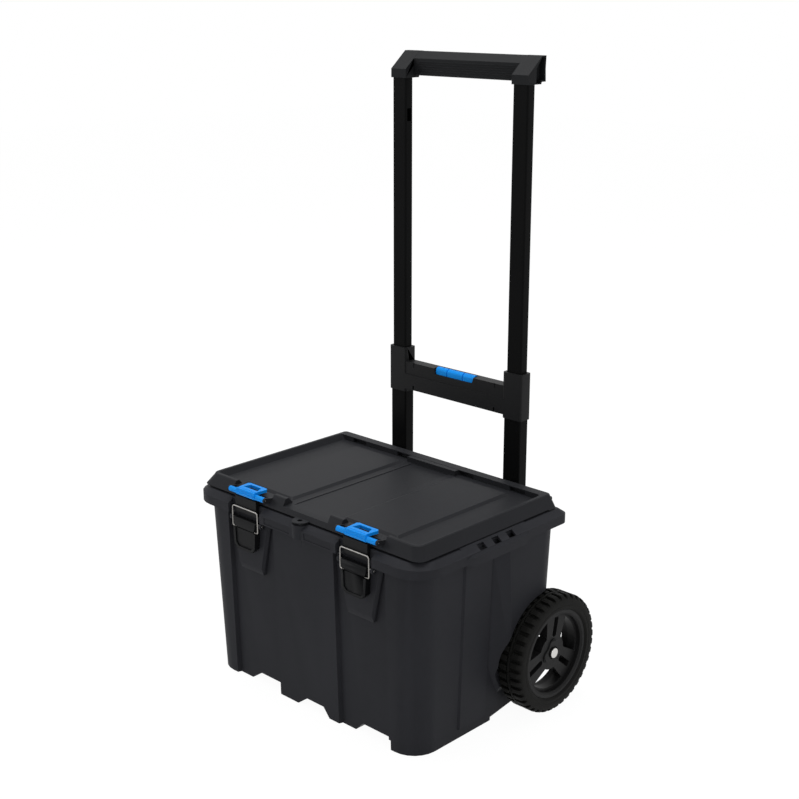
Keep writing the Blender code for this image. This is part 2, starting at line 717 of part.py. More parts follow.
def add_side_grip(tub, side):
    """A sloped grip below the lid edge, open from below, with a row of square windows."""
    inner = TUB_HALF_WIDTH_TOP - TUB_WALL / 2
    wall = SIDE_GRIP_WALL
    middle = sided((
        (inner, SIDE_GRIP_FOOT_Z), (inner, SIDE_GRIP_TOP_Z), (SIDE_GRIP_TOP_X, SIDE_GRIP_TOP_Z),
        (SIDE_GRIP_OUT, SIDE_GRIP_EDGE_Z), (SIDE_GRIP_OUT, SIDE_GRIP_FOOT_Z),
    ), side)
    end = sided((
        (inner, RIM_BOTTOM + FIT_GAP), (inner, SIDE_GRIP_TOP_Z - FIT_GAP),
        (SIDE_GRIP_TOP_X, SIDE_GRIP_TOP_Z - FIT_GAP), (RIM_HALF_WIDTH - FIT_GAP, SIDE_GRIP_EDGE_Z),
        (RIM_HALF_WIDTH - FIT_GAP, RIM_BOTTOM + FIT_GAP),
    ), side)
    join(tub, loft([
        lifted(end, "y", -SIDE_GRIP_TOP_HALF_LENGTH), lifted(middle, "y", -SIDE_GRIP_HALF_LENGTH),
        lifted(middle, "y", SIDE_GRIP_HALF_LENGTH), lifted(end, "y", SIDE_GRIP_TOP_HALF_LENGTH),
    ]))
    back = TUB_HALF_WIDTH_TOP + (SIDE_PANEL_PROUD + wall) / 2
    room = sided((
        (back, RIM_BOTTOM - REACH), (back, SIDE_GRIP_TOP_Z - wall * 3),
        (SIDE_GRIP_TOP_X + wall / 2, SIDE_GRIP_TOP_Z - wall * 2),
        (SIDE_GRIP_OUT - wall, SIDE_GRIP_EDGE_Z - wall / 2), (SIDE_GRIP_OUT - wall, RIM_BOTTOM - REACH),
    ), side)
    cut(tub, prism(room, "y", wall - SIDE_GRIP_HALF_LENGTH, RAMP_START - wall / 2))
    over_fender = [(x, max(z, RIM_BOTTOM + wall)) for x, z in room]
    cut(tub, prism(over_fender, "y", RAMP_START - wall, SIDE_GRIP_HALF_LENGTH - wall))
    slope = Vector((SIDE_GRIP_OUT - SIDE_GRIP_TOP_X, SIDE_GRIP_EDGE_Z - SIDE_GRIP_TOP_Z)).normalized()
    normal = Vector((-slope.y, slope.x))
    middle = Vector(((SIDE_GRIP_OUT + SIDE_GRIP_TOP_X) / 2, (SIDE_GRIP_EDGE_Z + SIDE_GRIP_TOP_Z) / 2))
    middle -= slope * SIDE_GRIP_WINDOW_RISE
    half = slope * (SIDE_GRIP_WINDOW_HEIGHT / 2)
    through = normal * SIDE_GRIP_WINDOW_REACH
    corners = (half + through, through - half, -half - through, half - through)
    window = sided([tuple(middle + corner) for corner in corners], side)
    for index in range(SIDE_GRIP_WINDOWS):
        centre = (index - (SIDE_GRIP_WINDOWS - 1) / 2) * SIDE_GRIP_PITCH
        half_length = SIDE_GRIP_WINDOW_LENGTH / 2
        cut(tub, prism(window, "y", centre - half_length, centre + half_length))
    return tub


def knuckle(span, foot_y, foot_z, top_z):
    """A hinge knuckle with the web that carries it."""
    half = KNUCKLE_RADIUS
    barrel = rod("x", (HINGE_Y, HINGE_Z), half, span[0], span[1])
    web = ((foot_y[0], foot_z), (foot_y[1], foot_z), (foot_y[1], top_z), (foot_y[0], top_z))
    return barrel, prism(web, "x", span[0] + FIT_GAP, span[1] - FIT_GAP)


def screw_hole(axis, place, low, high):
    return rod(axis, place, SCREW_RADIUS + FIT_GAP, low, high, 12)


def build_screw(name, axis, place, tip, seat, look):
    """A round-headed screw from its tip to its head, whose underside lies at the seat."""
    shank = rod(axis, place, SCREW_RADIUS, tip, seat + SCREW_HEAD / 2, 12)
    crown = SCREW_HEAD_RADIUS - SCREW_HEAD / 2
    wide = SCREW_HEAD_RADIUS
    levels = ((wide, seat), (wide, seat + SCREW_HEAD / 2), (crown, seat + SCREW_HEAD))
    join(shank, loft([lifted(circle(place, radius), axis, level) for radius, level in levels]))
    return finish(shank, name, look)


def build_tub(look):
    """Moulded tub."""
    tub = tub_shape()
    for _, side in SIDES:
        add_latch_base(tub, side)
        add_side_grip(tub, side)
    boss = arc((0.0, PADLOCK_FRONT + PADLOCK_HALF_WIDTH), PADLOCK_HALF_WIDTH, 180, 360, 12)
    root = RIM_CHAMFER - RIM_HALF_DEPTH
    boss += [(PADLOCK_HALF_WIDTH, root), (-PADLOCK_HALF_WIDTH, root)]
    join(tub, prism(boss, "z", PADLOCK_FOOT_Z - FIT_GAP, RIM_TOP - FIT_GAP))
    hole = rod("z", (0.0, PADLOCK_HOLE_Y), PADLOCK_HOLE_RADIUS, RIM_BOTTOM - REACH / 2, RIM_TOP + REACH)
    cut(tub, hole)
    for span in TUB_KNUCKLES:
        reach = (HINGE_Y - KNUCKLE_RADIUS / 2, HINGE_Y + KNUCKLE_RADIUS / 2)
        join(tub, *knuckle(span, reach, RIM_TOP - MOUTH_FLANGE / 2, HINGE_Z - FIT_GAP))
    length = TUB_KNUCKLES[-1][1] + REACH
    cut(tub, rod("x", (HINGE_Y, HINGE_Z), HINGE_ROD_RADIUS + FIT_GAP, -length, length))
    lug_top = REAR_STEP_Z + TUB_FLOOR / 2
    for _, side in SIDES:
        low, high = sorted((side * AXLE_LUG[0], side * AXLE_LUG[1]))
        lug = arc((WHEEL_Y, WHEEL_RADIUS), AXLE_LUG_RADIUS, 180, 360, 10)
        lug += [(WHEEL_Y + AXLE_LUG_RADIUS, lug_top), (WHEEL_Y - AXLE_LUG_RADIUS, lug_top)]
        join(tub, prism(lug, "x", low, high))
        cut(tub, rod("x", (WHEEL_Y, WHEEL_RADIUS), AXLE_RADIUS + SLIDE_GAP, low - FIT_GAP, high + FIT_GAP))
        for lean in (-1, 1):
            centre = side * TUBE_X
            flange = (centre + lean * FLANGE_SCREW_X, sum(UPPER_BRACKET) / 2)
            cut(tub, screw_hole("y", flange, RIM_HALF_DEPTH - SCREW_BITE, RIM_HALF_DEPTH + REACH))
            web = (centre + lean * WEB_SCREW_X, WEB_SCREW_Y)
            cut(tub, screw_hole("z", web, REAR_STEP_Z - REACH / 2, REAR_STEP_Z + REACH / 2))
    return finish(tub, "tub_shell", look)


# Lid

def lid_section(z, inset=0.0):
    """Outline of the lid at a height. Its sides and front lean out towards the foot of the skirt."""
    crest = LID_TOP - LID_EDGE_ROUND
    lean = max(0.0, (crest - z) / (crest - LID_SKIRT_BOTTOM))
    side = LID_HALF_WIDTH + LID_SIDE_LEAN * lean - inset
    front = LID_FRONT - LID_FRONT_LEAN * lean + inset
    outline = rounded(
        (-side, side), (front, LID_REAR - inset),
        LID_RADIUS - inset, rear_radius=LID_REAR_RADIUS - inset,
    )
    return lifted(outline, "z", z)


def build_lid(look):
    """Lid with a raised border, two raised pads, keepers, lugs and hinge knuckles."""
    edge = LID_EDGE_ROUND
    third = edge / 3
    lid = loft([
        lid_section(LID_SKIRT_BOTTOM), lid_section(LID_TOP - edge),
        lid_section(LID_TOP - third, third), lid_section(LID_TOP, edge),
    ])
    under = LID_FIELD - LID_PANEL_THICKNESS
    wall = LID_SKIRT_WALL
    cut(lid, loft([lid_section(LID_SKIRT_BOTTOM - REACH, wall), lid_section(under, wall)]))
    side_inner = LID_HALF_WIDTH - BORDER_SIDE
    front_inner = LID_FRONT + BORDER_FRONT
    rear_inner = LID_REAR - BORDER_REAR
    field = rounded((-side_inner, side_inner), (front_inner, rear_inner), edge * 2, 3)
    wide = side_inner + BORDER_SLOPE
    brim = rounded((-wide, wide), (front_inner - BORDER_SLOPE, rear_inner), edge * 2, 3)
    levels = ((field, LID_FIELD), (brim, LID_TOP), (brim, LID_TOP + REACH))
    cut(lid, loft([lifted(outline, "z", z) for outline, z in levels]))
    outlet = (
        (front_inner + edge, LID_TOP + REACH), (front_inner + edge, LID_FIELD),
        (LID_FRONT - REACH, LID_FIELD - OUTLET_DROP * REACH / BORDER_FRONT),
        (LID_FRONT - REACH, LID_TOP + REACH),
    )
    cut(lid, prism(outlet, "x", -OUTLET_HALF, OUTLET_HALF))
    for _, side in SIDES:
        low, high = sorted((side * PAD_INNER, side * PAD_OUTER))
        ends = (front_inner + PAD_MARGIN, rear_inner - REAR_BLOCK_DEPTH - PAD_MARGIN)
        foot = rounded((low, high), ends, edge, 2)
        inward = (ends[0] + PAD_SLOPE, ends[1] - PAD_SLOPE)
        crest = rounded((low + PAD_SLOPE, high - PAD_SLOPE), inward, edge, 2)
        base = LID_FIELD - LID_PANEL_THICKNESS / 2
        levels = ((foot, base), (foot, LID_FIELD), (crest, LID_FIELD + PAD_RISE))
        join(lid, loft([lifted(outline, "z", z) for outline, z in levels]))
    rear_block = (rear_inner - REAR_BLOCK_DEPTH, rear_inner + edge / 2)
    heights = (LID_FIELD - LID_PANEL_THICKNESS / 2, LID_TOP - FIT_GAP)
    join(lid, block((-REAR_BLOCK_HALF, REAR_BLOCK_HALF), rear_block, heights))
    for low, high in REAR_NOTCHES:
        depth = (rear_inner - edge, rear_inner + REAR_NOTCH_DEPTH)
        cut(lid, block((low, high), depth, (LID_FIELD, LID_TOP - edge / 2)))
    for _, side in SIDES:
        add_latch_side(lid, side * LATCH_X)
    half = PADLOCK_HALF_WIDTH - FIT_GAP
    tab = arc((0.0, PADLOCK_FRONT + PADLOCK_HALF_WIDTH), half, 180, 360, 12)
    tab += [(half, LID_FRONT + wall / 2), (-half, LID_FRONT + wall / 2)]
    join(lid, prism(tab, "z", LID_SKIRT_BOTTOM + FIT_GAP, LID_SKIRT_BOTTOM + LID_PANEL_THICKNESS))
    cut(lid, rod("z", (0.0, PADLOCK_HOLE_Y), PADLOCK_HOLE_RADIUS, RIM_TOP, LID_TOP))
    for span in LID_KNUCKLES:
        reach = (LID_REAR - wall / 2, HINGE_Y)
        join(lid, *knuckle(span, reach, HINGE_Z - KNUCKLE_RADIUS / 2, HINGE_Z + KNUCKLE_RADIUS / 2))
    length = TUB_KNUCKLES[-1][1] + REACH
    cut(lid, rod("x", (HINGE_Y, HINGE_Z), HINGE_ROD_RADIUS + FIT_GAP, -length, length))
    return finish(lid, "lid_panel", look, (0.0, HINGE_Y, HINGE_Z))


def add_latch_side(lid, centre):
    """The keeper of a draw latch, and the bay and lugs of the stacking latch above it."""
    wall = LID_SKIRT_WALL
    root = LID_FRONT + wall / 2
    keeper = (
        (root, KEEPER_TOP_Z), (BAIL_FACE, KEEPER_TOP_Z), (BAIL_FACE, BAIL_TOP_Z - BAIL_WIRE_RADIUS),
        (BAIL_FACE + KEEPER_LEAN, KEEPER_FOOT_Z), (KEEPER_BACK, KEEPER_FOOT_Z), (KEEPER_BACK, KEEPER_ARM_Z),
        (root, KEEPER_ARM_Z),
    )
    join(lid, prism(keeper, "x", centre - KEEPER_HALF_WIDTH, centre + KEEPER_HALF_WIDTH))
    bay = (centre - STACK_BAY_HALF, centre + STACK_BAY_HALF)
    cut(lid, block(bay, (LID_FRONT - REACH, STACK_BAY_REAR), (STACK_BAY_FLOOR, LID_TOP + REACH)))
    for lean in (-1, 1):
        inner = centre + lean * (STACK_HALF_WIDTH + SLIDE_GAP)
        outer = inner + lean * STACK_LUG_THICKNESS
        radius = STACK_BARREL_RADIUS
        lug = arc((STACK_AXIS_Y, STACK_AXIS_Z), radius, 90, 270, 8)
        lug += [(root, STACK_AXIS_Z - radius), (root, STACK_AXIS_Z + radius - wall)]
        join(lid, prism(lug, "x", min(inner, outer), max(inner, outer)))
    reach = STACK_HALF_WIDTH + STACK_LUG_THICKNESS + REACH / 10
    bore = STACK_PIN_RADIUS + FIT_GAP
    return cut(lid, rod("x", (STACK_AXIS_Y, STACK_AXIS_Z), bore, centre - reach, centre + reach))


def build_gasket(look):
    """Seal between the lid and the mouth of the tub."""
    outset = LID_SKIRT_WALL + GASKET_INSET
    outer = [point[:2] for point in lid_section(LID_TOP, outset)]
    inner = [point[:2] for point in lid_section(LID_TOP, outset + GASKET_WIDTH)]
    top = LID_FIELD - LID_PANEL_THICKNESS - FIT_GAP
    ring = frame_ring(outer, inner, RIM_TOP + FIT_GAP, top)
    return finish(ring, "lid_gasket", look, (0.0, HINGE_Y, HINGE_Z))


def build_hinge_rod(look):
    """Steel rod through every knuckle."""
    length = TUB_KNUCKLES[-1][1] - FIT_GAP
    return finish(rod("x", (HINGE_Y, HINGE_Z), HINGE_ROD_RADIUS, -length, length), "lid_hinge_rod", look)


# Draw latches

def build_latch(name, side, looks):
    """Lever, pivot pin and wire bail of one draw latch."""
    centre = side * LATCH_X
    nose = arc((LEVER_PIVOT_Y, LEVER_PIVOT_Z), LEVER_NOSE_RADIUS, 0, 90, 5)
    profile = nose + [
        (LEVER_FRONT + FIT_GAP * 5, LEVER_PIVOT_Z + LEVER_NOSE_RADIUS - FIT_GAP),
        (LEVER_FRONT, LEVER_PIVOT_Z), (LEVER_FRONT, LEVER_FOOT_Z), (LEVER_BACK, LEVER_FOOT_Z + FIT_GAP),
        (LEVER_BACK, LEVER_PIVOT_Z - LEVER_NOSE_RADIUS * 2),
    ]
    lever = prism(profile, "x", centre - LEVER_HALF_WIDTH, centre + LEVER_HALF_WIDTH)
    for lean in (-1, 1):
        wide = LEVER_HALF_WIDTH + REACH
        trim = (
            (centre + lean * LEVER_HALF_WIDTH, BAIL_PIVOT_Z - BAIL_WIRE_RADIUS * 4),
            (centre + lean * LEVER_FOOT_HALF_WIDTH, LEVER_FOOT_Z + LEVER_CHAMFER),
            (centre + lean * (LEVER_FOOT_HALF_WIDTH - LEVER_CHAMFER - FIT_GAP), LEVER_FOOT_Z - FIT_GAP),
            (centre + lean * (LEVER_FOOT_HALF_WIDTH - LEVER_CHAMFER), LEVER_FOOT_Z - REACH),
            (centre + lean * wide, LEVER_FOOT_Z - REACH),
            (centre + lean * wide, BAIL_PIVOT_Z - BAIL_WIRE_RADIUS * 4),
        )
        cut(lever, prism(trim, "y", LEVER_FRONT - REACH, LEVER_BACK + REACH))
        low, high = sorted((centre + lean * (LEVER_HALF_WIDTH - LEVER_FRAME), centre + lean * wide))
        cut(lever, rod("x", (BAIL_PIVOT_Y, BAIL_PIVOT_Z), BAIL_WIRE_RADIUS + SLIDE_GAP, low, high, 12))
    inset = LEVER_FRAME
    top = LEVER_PIVOT_Z - inset * 3
    corner = (LEVER_FOOT_HALF_WIDTH - inset, LEVER_FOOT_Z + LEVER_CHAMFER + inset / 2)
    foot = (LEVER_FOOT_HALF_WIDTH - LEVER_CHAMFER - inset / 2, LEVER_FOOT_Z + inset)
    half = [(LEVER_HALF_WIDTH - inset, top), corner, foot]
    panel = [(centre + x, z) for x, z in half] + [(centre - x, z) for x, z in reversed(half)]
    cut(lever, prism(panel, "y", LEVER_FRONT - REACH, LEVER_FRONT + LEVER_PANEL_DEPTH))
    hole = rod("x", (LEVER_PIVOT_Y, LEVER_PIVOT_Z), PIN_RADIUS + FIT_GAP, centre - REACH, centre + REACH)
    cut(lever, hole)
    finish(lever, "latch_lever_" + name, looks["latch"], (centre, LEVER_PIVOT_Y, LEVER_PIVOT_Z))

    reach = EAR_INNER + EAR_THICKNESS
    pin = rod("x", (LEVER_PIVOT_Y, LEVER_PIVOT_Z), PIN_RADIUS, centre - reach, centre + reach)
    finish(pin, "latch_pin_" + name, looks["steel"], (centre, LEVER_PIVOT_Y, LEVER_PIVOT_Z))

    tip = LEVER_HALF_WIDTH - LEVER_FRAME + SLIDE_GAP
    corner = BAIL_CORNER
    half = [(tip, BAIL_PIVOT_Z), (BAIL_HALF_WIDTH - BAIL_BEND, BAIL_PIVOT_Z)]
    half += arc((BAIL_HALF_WIDTH - BAIL_BEND, BAIL_PIVOT_Z + BAIL_BEND), BAIL_BEND, -60, 0, 3)
    half += arc((BAIL_HALF_WIDTH - corner, BAIL_TOP_Z - corner), corner, 0, 90, 5)
    path = [(centre + x, BAIL_PIVOT_Y, z) for x, z in half]
    path += [(centre - x, BAIL_PIVOT_Y, z) for x, z in reversed(half)]
    bail = swept(path, BAIL_WIRE_RADIUS, 10)
    finish(bail, "latch_bail_" + name, looks["steel"], (centre, BAIL_PIVOT_Y, BAIL_PIVOT_Z))


def build_stack_latch(name, side, looks):
    """Coloured latch that grips the box stacked on the lid, and its pin."""
    centre = side * LATCH_X
    outline = (
        (centre - STACK_BODY_HALF, STACK_AXIS_Y), (centre + STACK_BODY_HALF, STACK_AXIS_Y),
        (centre + STACK_SHOULDER_HALF, STACK_SHOULDER_Y),
        (centre + STACK_REAR_HALF, STACK_REAR_Y),
        (centre - STACK_REAR_HALF, STACK_REAR_Y),
        (centre - STACK_SHOULDER_HALF, STACK_SHOULDER_Y),
    )
    latch = prism(outline, "z", STACK_PLATE_BOTTOM, STACK_PLATE_TOP)
    window = block(
        (centre - STACK_WINDOW_HALF, centre + STACK_WINDOW_HALF), STACK_WINDOW,
        (STACK_PLATE_BOTTOM - REACH, STACK_PLATE_TOP + REACH),
    )
    cut(latch, window)
    axis = (STACK_AXIS_Y, STACK_AXIS_Z)
    radius = STACK_BARREL_RADIUS
    join(latch, rod("x", axis, radius, centre - STACK_HALF_WIDTH, centre + STACK_HALF_WIDTH))
    crest = STACK_PLATE_TOP - FIT_GAP
    ridge = (
        axis, (STACK_AXIS_Y - radius, STACK_AXIS_Z + radius / 3),
        (STACK_AXIS_Y - radius / 2, crest - FIT_GAP * 2), (STACK_AXIS_Y, crest),
        (STACK_AXIS_Y + radius, crest), (STACK_AXIS_Y + radius, STACK_AXIS_Z + FIT_GAP),
    )
    half = STACK_BODY_HALF + FIT_GAP
    join(latch, prism(ridge, "x", centre - half, centre + half))
    reach = STACK_HALF_WIDTH + STACK_LUG_THICKNESS
    cut(latch, rod("x", axis, STACK_PIN_RADIUS + FIT_GAP, centre - reach, centre + reach))
    finish(latch, "stack_latch_" + name, looks["accent"], (centre, STACK_AXIS_Y, STACK_AXIS_Z))
    pin = rod("x", axis, STACK_PIN_RADIUS, centre - reach, centre + reach)
    finish(pin, "stack_latch_pin_" + name, looks["steel"], (centre, STACK_AXIS_Y, STACK_AXIS_Z))


# Pull handle

def tube_outline(size, centre, grow=0.0, steps=3):
    half_x = size[0] / 2 + grow
    half_y = size[1] / 2 + grow
    depth = (TUBE_Y - half_y, TUBE_Y + half_y)
    return rounded((centre - half_x, centre + half_x), depth, TUBE_RADIUS + grow, steps)


def build_tubes(name, side, looks):
    """Outer tube, inner tube and the glide at its foot."""
    centre = side * TUBE_X
    outer = frame_ring(
        tube_outline(OUTER_TUBE, centre), tube_outline(OUTER_TUBE, centre, -OUTER_TUBE_WALL),
        OUTER_TUBE_BOTTOM, OUTER_TUBE_TOP,
    )
    finish(outer, "outer_tube_" + name, looks["tube"])
    inner = frame_ring(
        tube_outline(INNER_TUBE, centre), tube_outline(INNER_TUBE, centre, -INNER_TUBE_WALL),
        INNER_TUBE_BOTTOM, INNER_TUBE_TOP,
    )
    face = centre - side * INNER_TUBE[0] / 2
    low, high = sorted((face - side * REACH / 10, face + side * (INNER_TUBE_WALL + FIT_GAP)))
    for height in (LOCK_Z, LOCK_Z + HANDLE_TRAVEL):
        slot = block(
            (low, high), (TUBE_Y - LOCK_SLOT_HALF_DEPTH, TUBE_Y + LOCK_SLOT_HALF_DEPTH),
            (height - LOCK_SLOT_HALF_HEIGHT, height + LOCK_SLOT_HALF_HEIGHT),
        )
        cut(inner, slot)
    finish(inner, "inner_tube_" + name, looks["tube"], (centre, TUBE_Y, INNER_TUBE_BOTTOM))
    gap = INNER_TUBE_WALL + FIT_GAP
    top = LOCK_Z - LOCK_SLOT_HALF_HEIGHT - FIT_GAP
    plug = prism(tube_outline(INNER_TUBE, centre, -gap), "z", INNER_TUBE_BOTTOM - GLIDE_FOOT / 2, top)
    outline = tube_outline(INNER_TUBE, centre, FIT_GAP / 3)
    foot = prism(outline, "z", INNER_TUBE_BOTTOM - GLIDE_FOOT, INNER_TUBE_BOTTOM - FIT_GAP)
    join(plug, foot)
    finish(plug, "tube_glide_" + name, looks["latch"], (centre, TUBE_Y, INNER_TUBE_BOTTOM))


def build_bridge(look):
    """Moulded bridge: two collars and the bar that holds the release button."""
    bar = block((-TUBE_X, TUBE_X), (BRIDGE_FRONT, BRIDGE_REAR), (BRIDGE_BOTTOM, BRIDGE_TOP))
    step = ((BRIDGE_FRONT - REACH, BRIDGE_LEDGE_Z), (BRIDGE_FRONT + BRIDGE_LEDGE, BRIDGE_LEDGE_Z),
            (BRIDGE_FRONT + BRIDGE_LEDGE, BRIDGE_TOP + REACH), (BRIDGE_FRONT - REACH, BRIDGE_TOP + REACH))
    cut(bar, prism(step, "x", -TUBE_X - REACH, TUBE_X + REACH))
    bridge = bar
    for _, side in SIDES:
        centre = side * TUBE_X
        wide = (centre - COLLAR[0] / 2, centre + COLLAR[0] / 2)
        deep = (TUBE_Y - COLLAR[1] / 2, TUBE_Y + COLLAR[1] / 2)
        join(bridge, prism(rounded(wide, deep, COLLAR_RADIUS, 3), "z", COLLAR_BOTTOM, COLLAR_TOP))
    for _, side in SIDES:
        centre = side * TUBE_X
        socket = tube_outline(OUTER_TUBE, centre, FIT_GAP)
        cut(bridge, prism(socket, "z", COLLAR_BOTTOM - REACH, OUTER_TUBE_TOP + FIT_GAP))
        passage = tube_outline(INNER_TUBE, centre, SLIDE_GAP)
        cut(bridge, prism(passage, "z", COLLAR_BOTTOM, COLLAR_TOP + REACH))
        low, high = sorted((side * (BUTTON_HALF_WIDTH - BRIDGE_WALL), side * (TUBE_X - INNER_TUBE[0] / 2)))
        channel = block(
            (low, high), (TUBE_Y - BOLT_HALF_DEPTH - SLIDE_GAP, TUBE_Y + BOLT_HALF_DEPTH + SLIDE_GAP),
            (LOCK_Z - BOLT_HALF_HEIGHT - SLIDE_GAP, LOCK_Z + BOLT_HALF_HEIGHT + SLIDE_GAP),
        )
        cut(bridge, channel)
    wide = BUTTON_HALF_WIDTH + SLIDE_GAP
    depth = (BRIDGE_FRONT + BRIDGE_LEDGE + BRIDGE_WALL, BRIDGE_REAR - BRIDGE_WALL)
    cut(bridge, block((-wide, wide), depth, (BUTTON_POCKET_FLOOR, BRIDGE_TOP + REACH)))
    crest = BRIDGE_TOP + REACH
    half = BUTTON_HALF_WIDTH - SLIDE_GAP * 3
    spread = half + (crest - WINDOW_SILL) * WINDOW_SPREAD
    window = ((-half, WINDOW_SILL), (half, WINDOW_SILL), (spread, crest), (-spread, crest))
    cut(bridge, prism(window, "y", BRIDGE_FRONT - REACH, BRIDGE_FRONT + BRIDGE_LEDGE + BRIDGE_WALL * 2))
    for place in COVER_SCREWS:
        cut(bridge, screw_hole("y", place, BRIDGE_REAR - SCREW_LENGTH, BRIDGE_REAR + REACH))
    return finish(bridge, "handle_bridge", look)


def build_lock(looks):
    """Rear cover, release button, its spring, the lock bolts and the cover screws."""
    rear = BRIDGE_REAR + FIT_GAP
    margin = BRIDGE_WALL / 2
    height = (BRIDGE_BOTTOM + margin, BRIDGE_TOP - margin)
    outline = rounded((-COVER_HALF_WIDTH, COVER_HALF_WIDTH), height, COLLAR_RADIUS, 3)
    cover = prism(outline, "y", rear, rear + COVER_THICKNESS)
    for place in COVER_SCREWS:
        cut(cover, screw_hole("y", place, rear - REACH, rear + REACH))
    finish(cover, "bridge_rear_cover", looks["handle"])
    seat = rear + COVER_THICKNESS + FIT_GAP
    for index, place in enumerate(COVER_SCREWS, 1):
        tip = BRIDGE_REAR - SCREW_LENGTH + FIT_GAP
        build_screw("cover_screw_%d" % index, "y", place, tip, seat, looks["steel"])
    front = BRIDGE_FRONT + BRIDGE_LEDGE + BRIDGE_WALL + SLIDE_GAP
    back = BRIDGE_REAR - BRIDGE_WALL - SLIDE_GAP
    middle = (front + back) / 2
    round_top = (back - front) / 2
    crown = arc((middle, BUTTON_TOP - round_top), round_top, 0, 180, 10)
    side_view = crown + [(front, BUTTON_BOTTOM), (back, BUTTON_BOTTOM)]
    button = prism(side_view, "x", -BUTTON_HALF_WIDTH, BUTTON_HALF_WIDTH)
    seat = rod(
        "z", (0.0, middle), SPRING_RADIUS + SPRING_WIRE * 2,
        BUTTON_BOTTOM - REACH / 10, BUTTON_BOTTOM + SPRING_WIRE * 4,
    )
    cut(button, seat)
    finish(button, "release_button", looks["accent"], (0.0, middle, BUTTON_BOTTOM))
    low = BUTTON_POCKET_FLOOR + SPRING_WIRE + FIT_GAP
    high = BUTTON_BOTTOM + SPRING_WIRE * 3 - FIT_GAP
    path = []
    steps = SPRING_TURNS * SPRING_STEPS
    for step in range(steps + 1):
        angle = 2 * math.pi * step / SPRING_STEPS
        x = SPRING_RADIUS * math.cos(angle)
        y = middle + SPRING_RADIUS * math.sin(angle)
        path.append((x, y, low + (high - low) * step / steps))
    finish(swept(path, SPRING_WIRE, 6), "button_spring", looks["steel"], (0.0, middle, low))
    tip = TUBE_X - INNER_TUBE[0] / 2 - SLIDE_GAP
    for name, side in SIDES:
        ends = tuple(sorted((side * BOLT_INNER, side * tip)))
        depth = (TUBE_Y - BOLT_HALF_DEPTH, TUBE_Y + BOLT_HALF_DEPTH)
        height = (LOCK_Z - BOLT_HALF_HEIGHT, LOCK_Z + BOLT_HALF_HEIGHT)
        bolt = block(ends, depth, height)
        finish(bolt, "lock_bolt_" + name, looks["steel"], (side * BOLT_INNER, TUBE_Y, LOCK_Z))


def build_grip(looks):
    """Grip: two arms that hold the inner tubes and the bar between them."""
    front = GRIP_FRONT
    arm = (
        (front, GRIP_FOOT), (front, GRIP_BREAK),
        (front + GRIP_RIDGE_Y, GRIP_TOP), (front + GRIP_DEPTH, GRIP_TOP),
        (front + GRIP_WAIST, (GRIP_TOP + GRIP_BAR_BOTTOM) / 2), (front + GRIP_DEPTH, GRIP_BAR_BOTTOM),
        (front + GRIP_RIDGE_Y, GRIP_BAR_BOTTOM), (front + GRIP_RIDGE_Y - GRIP_BAR_ROUND, GRIP_FOOT),
    )
    slope = (GRIP_TOP - GRIP_BREAK) / GRIP_RIDGE_Y
    skin = FIT_GAP
    bar_front = front + GRIP_BAR_Y
    bar_top = GRIP_BREAK + slope * GRIP_BAR_Y - skin
    bar = (
        (bar_front, bar_top), (front + GRIP_RIDGE_Y, GRIP_TOP - skin),
        (front + GRIP_DEPTH - skin, GRIP_TOP - skin),
        (front + GRIP_WAIST - skin, (GRIP_TOP + GRIP_BAR_BOTTOM) / 2),
        (front + GRIP_DEPTH - skin, GRIP_BAR_BOTTOM + skin),
        (bar_front + GRIP_BAR_ROUND, GRIP_BAR_BOTTOM + skin),
        (bar_front, GRIP_BAR_BOTTOM + skin + GRIP_BAR_ROUND),
    )
    grip = prism(arm, "x", -TUBE_X - GRIP_HALF_ARM, -TUBE_X + GRIP_HALF_ARM)
    edge = TUBE_X - GRIP_HALF_ARM / 2
    join(grip, prism(bar, "x", -edge, edge))
    join(grip, prism(arm, "x", TUBE_X - GRIP_HALF_ARM, TUBE_X + GRIP_HALF_ARM))
    for _, side in SIDES:
        socket = tube_outline(INNER_TUBE, side * TUBE_X, FIT_GAP)
        cut(grip, prism(socket, "z", GRIP_FOOT - REACH, INNER_TUBE_TOP + FIT_GAP))
    return finish(grip, "pull_grip", looks["handle"], (0.0, TUBE_Y, GRIP_FOOT))


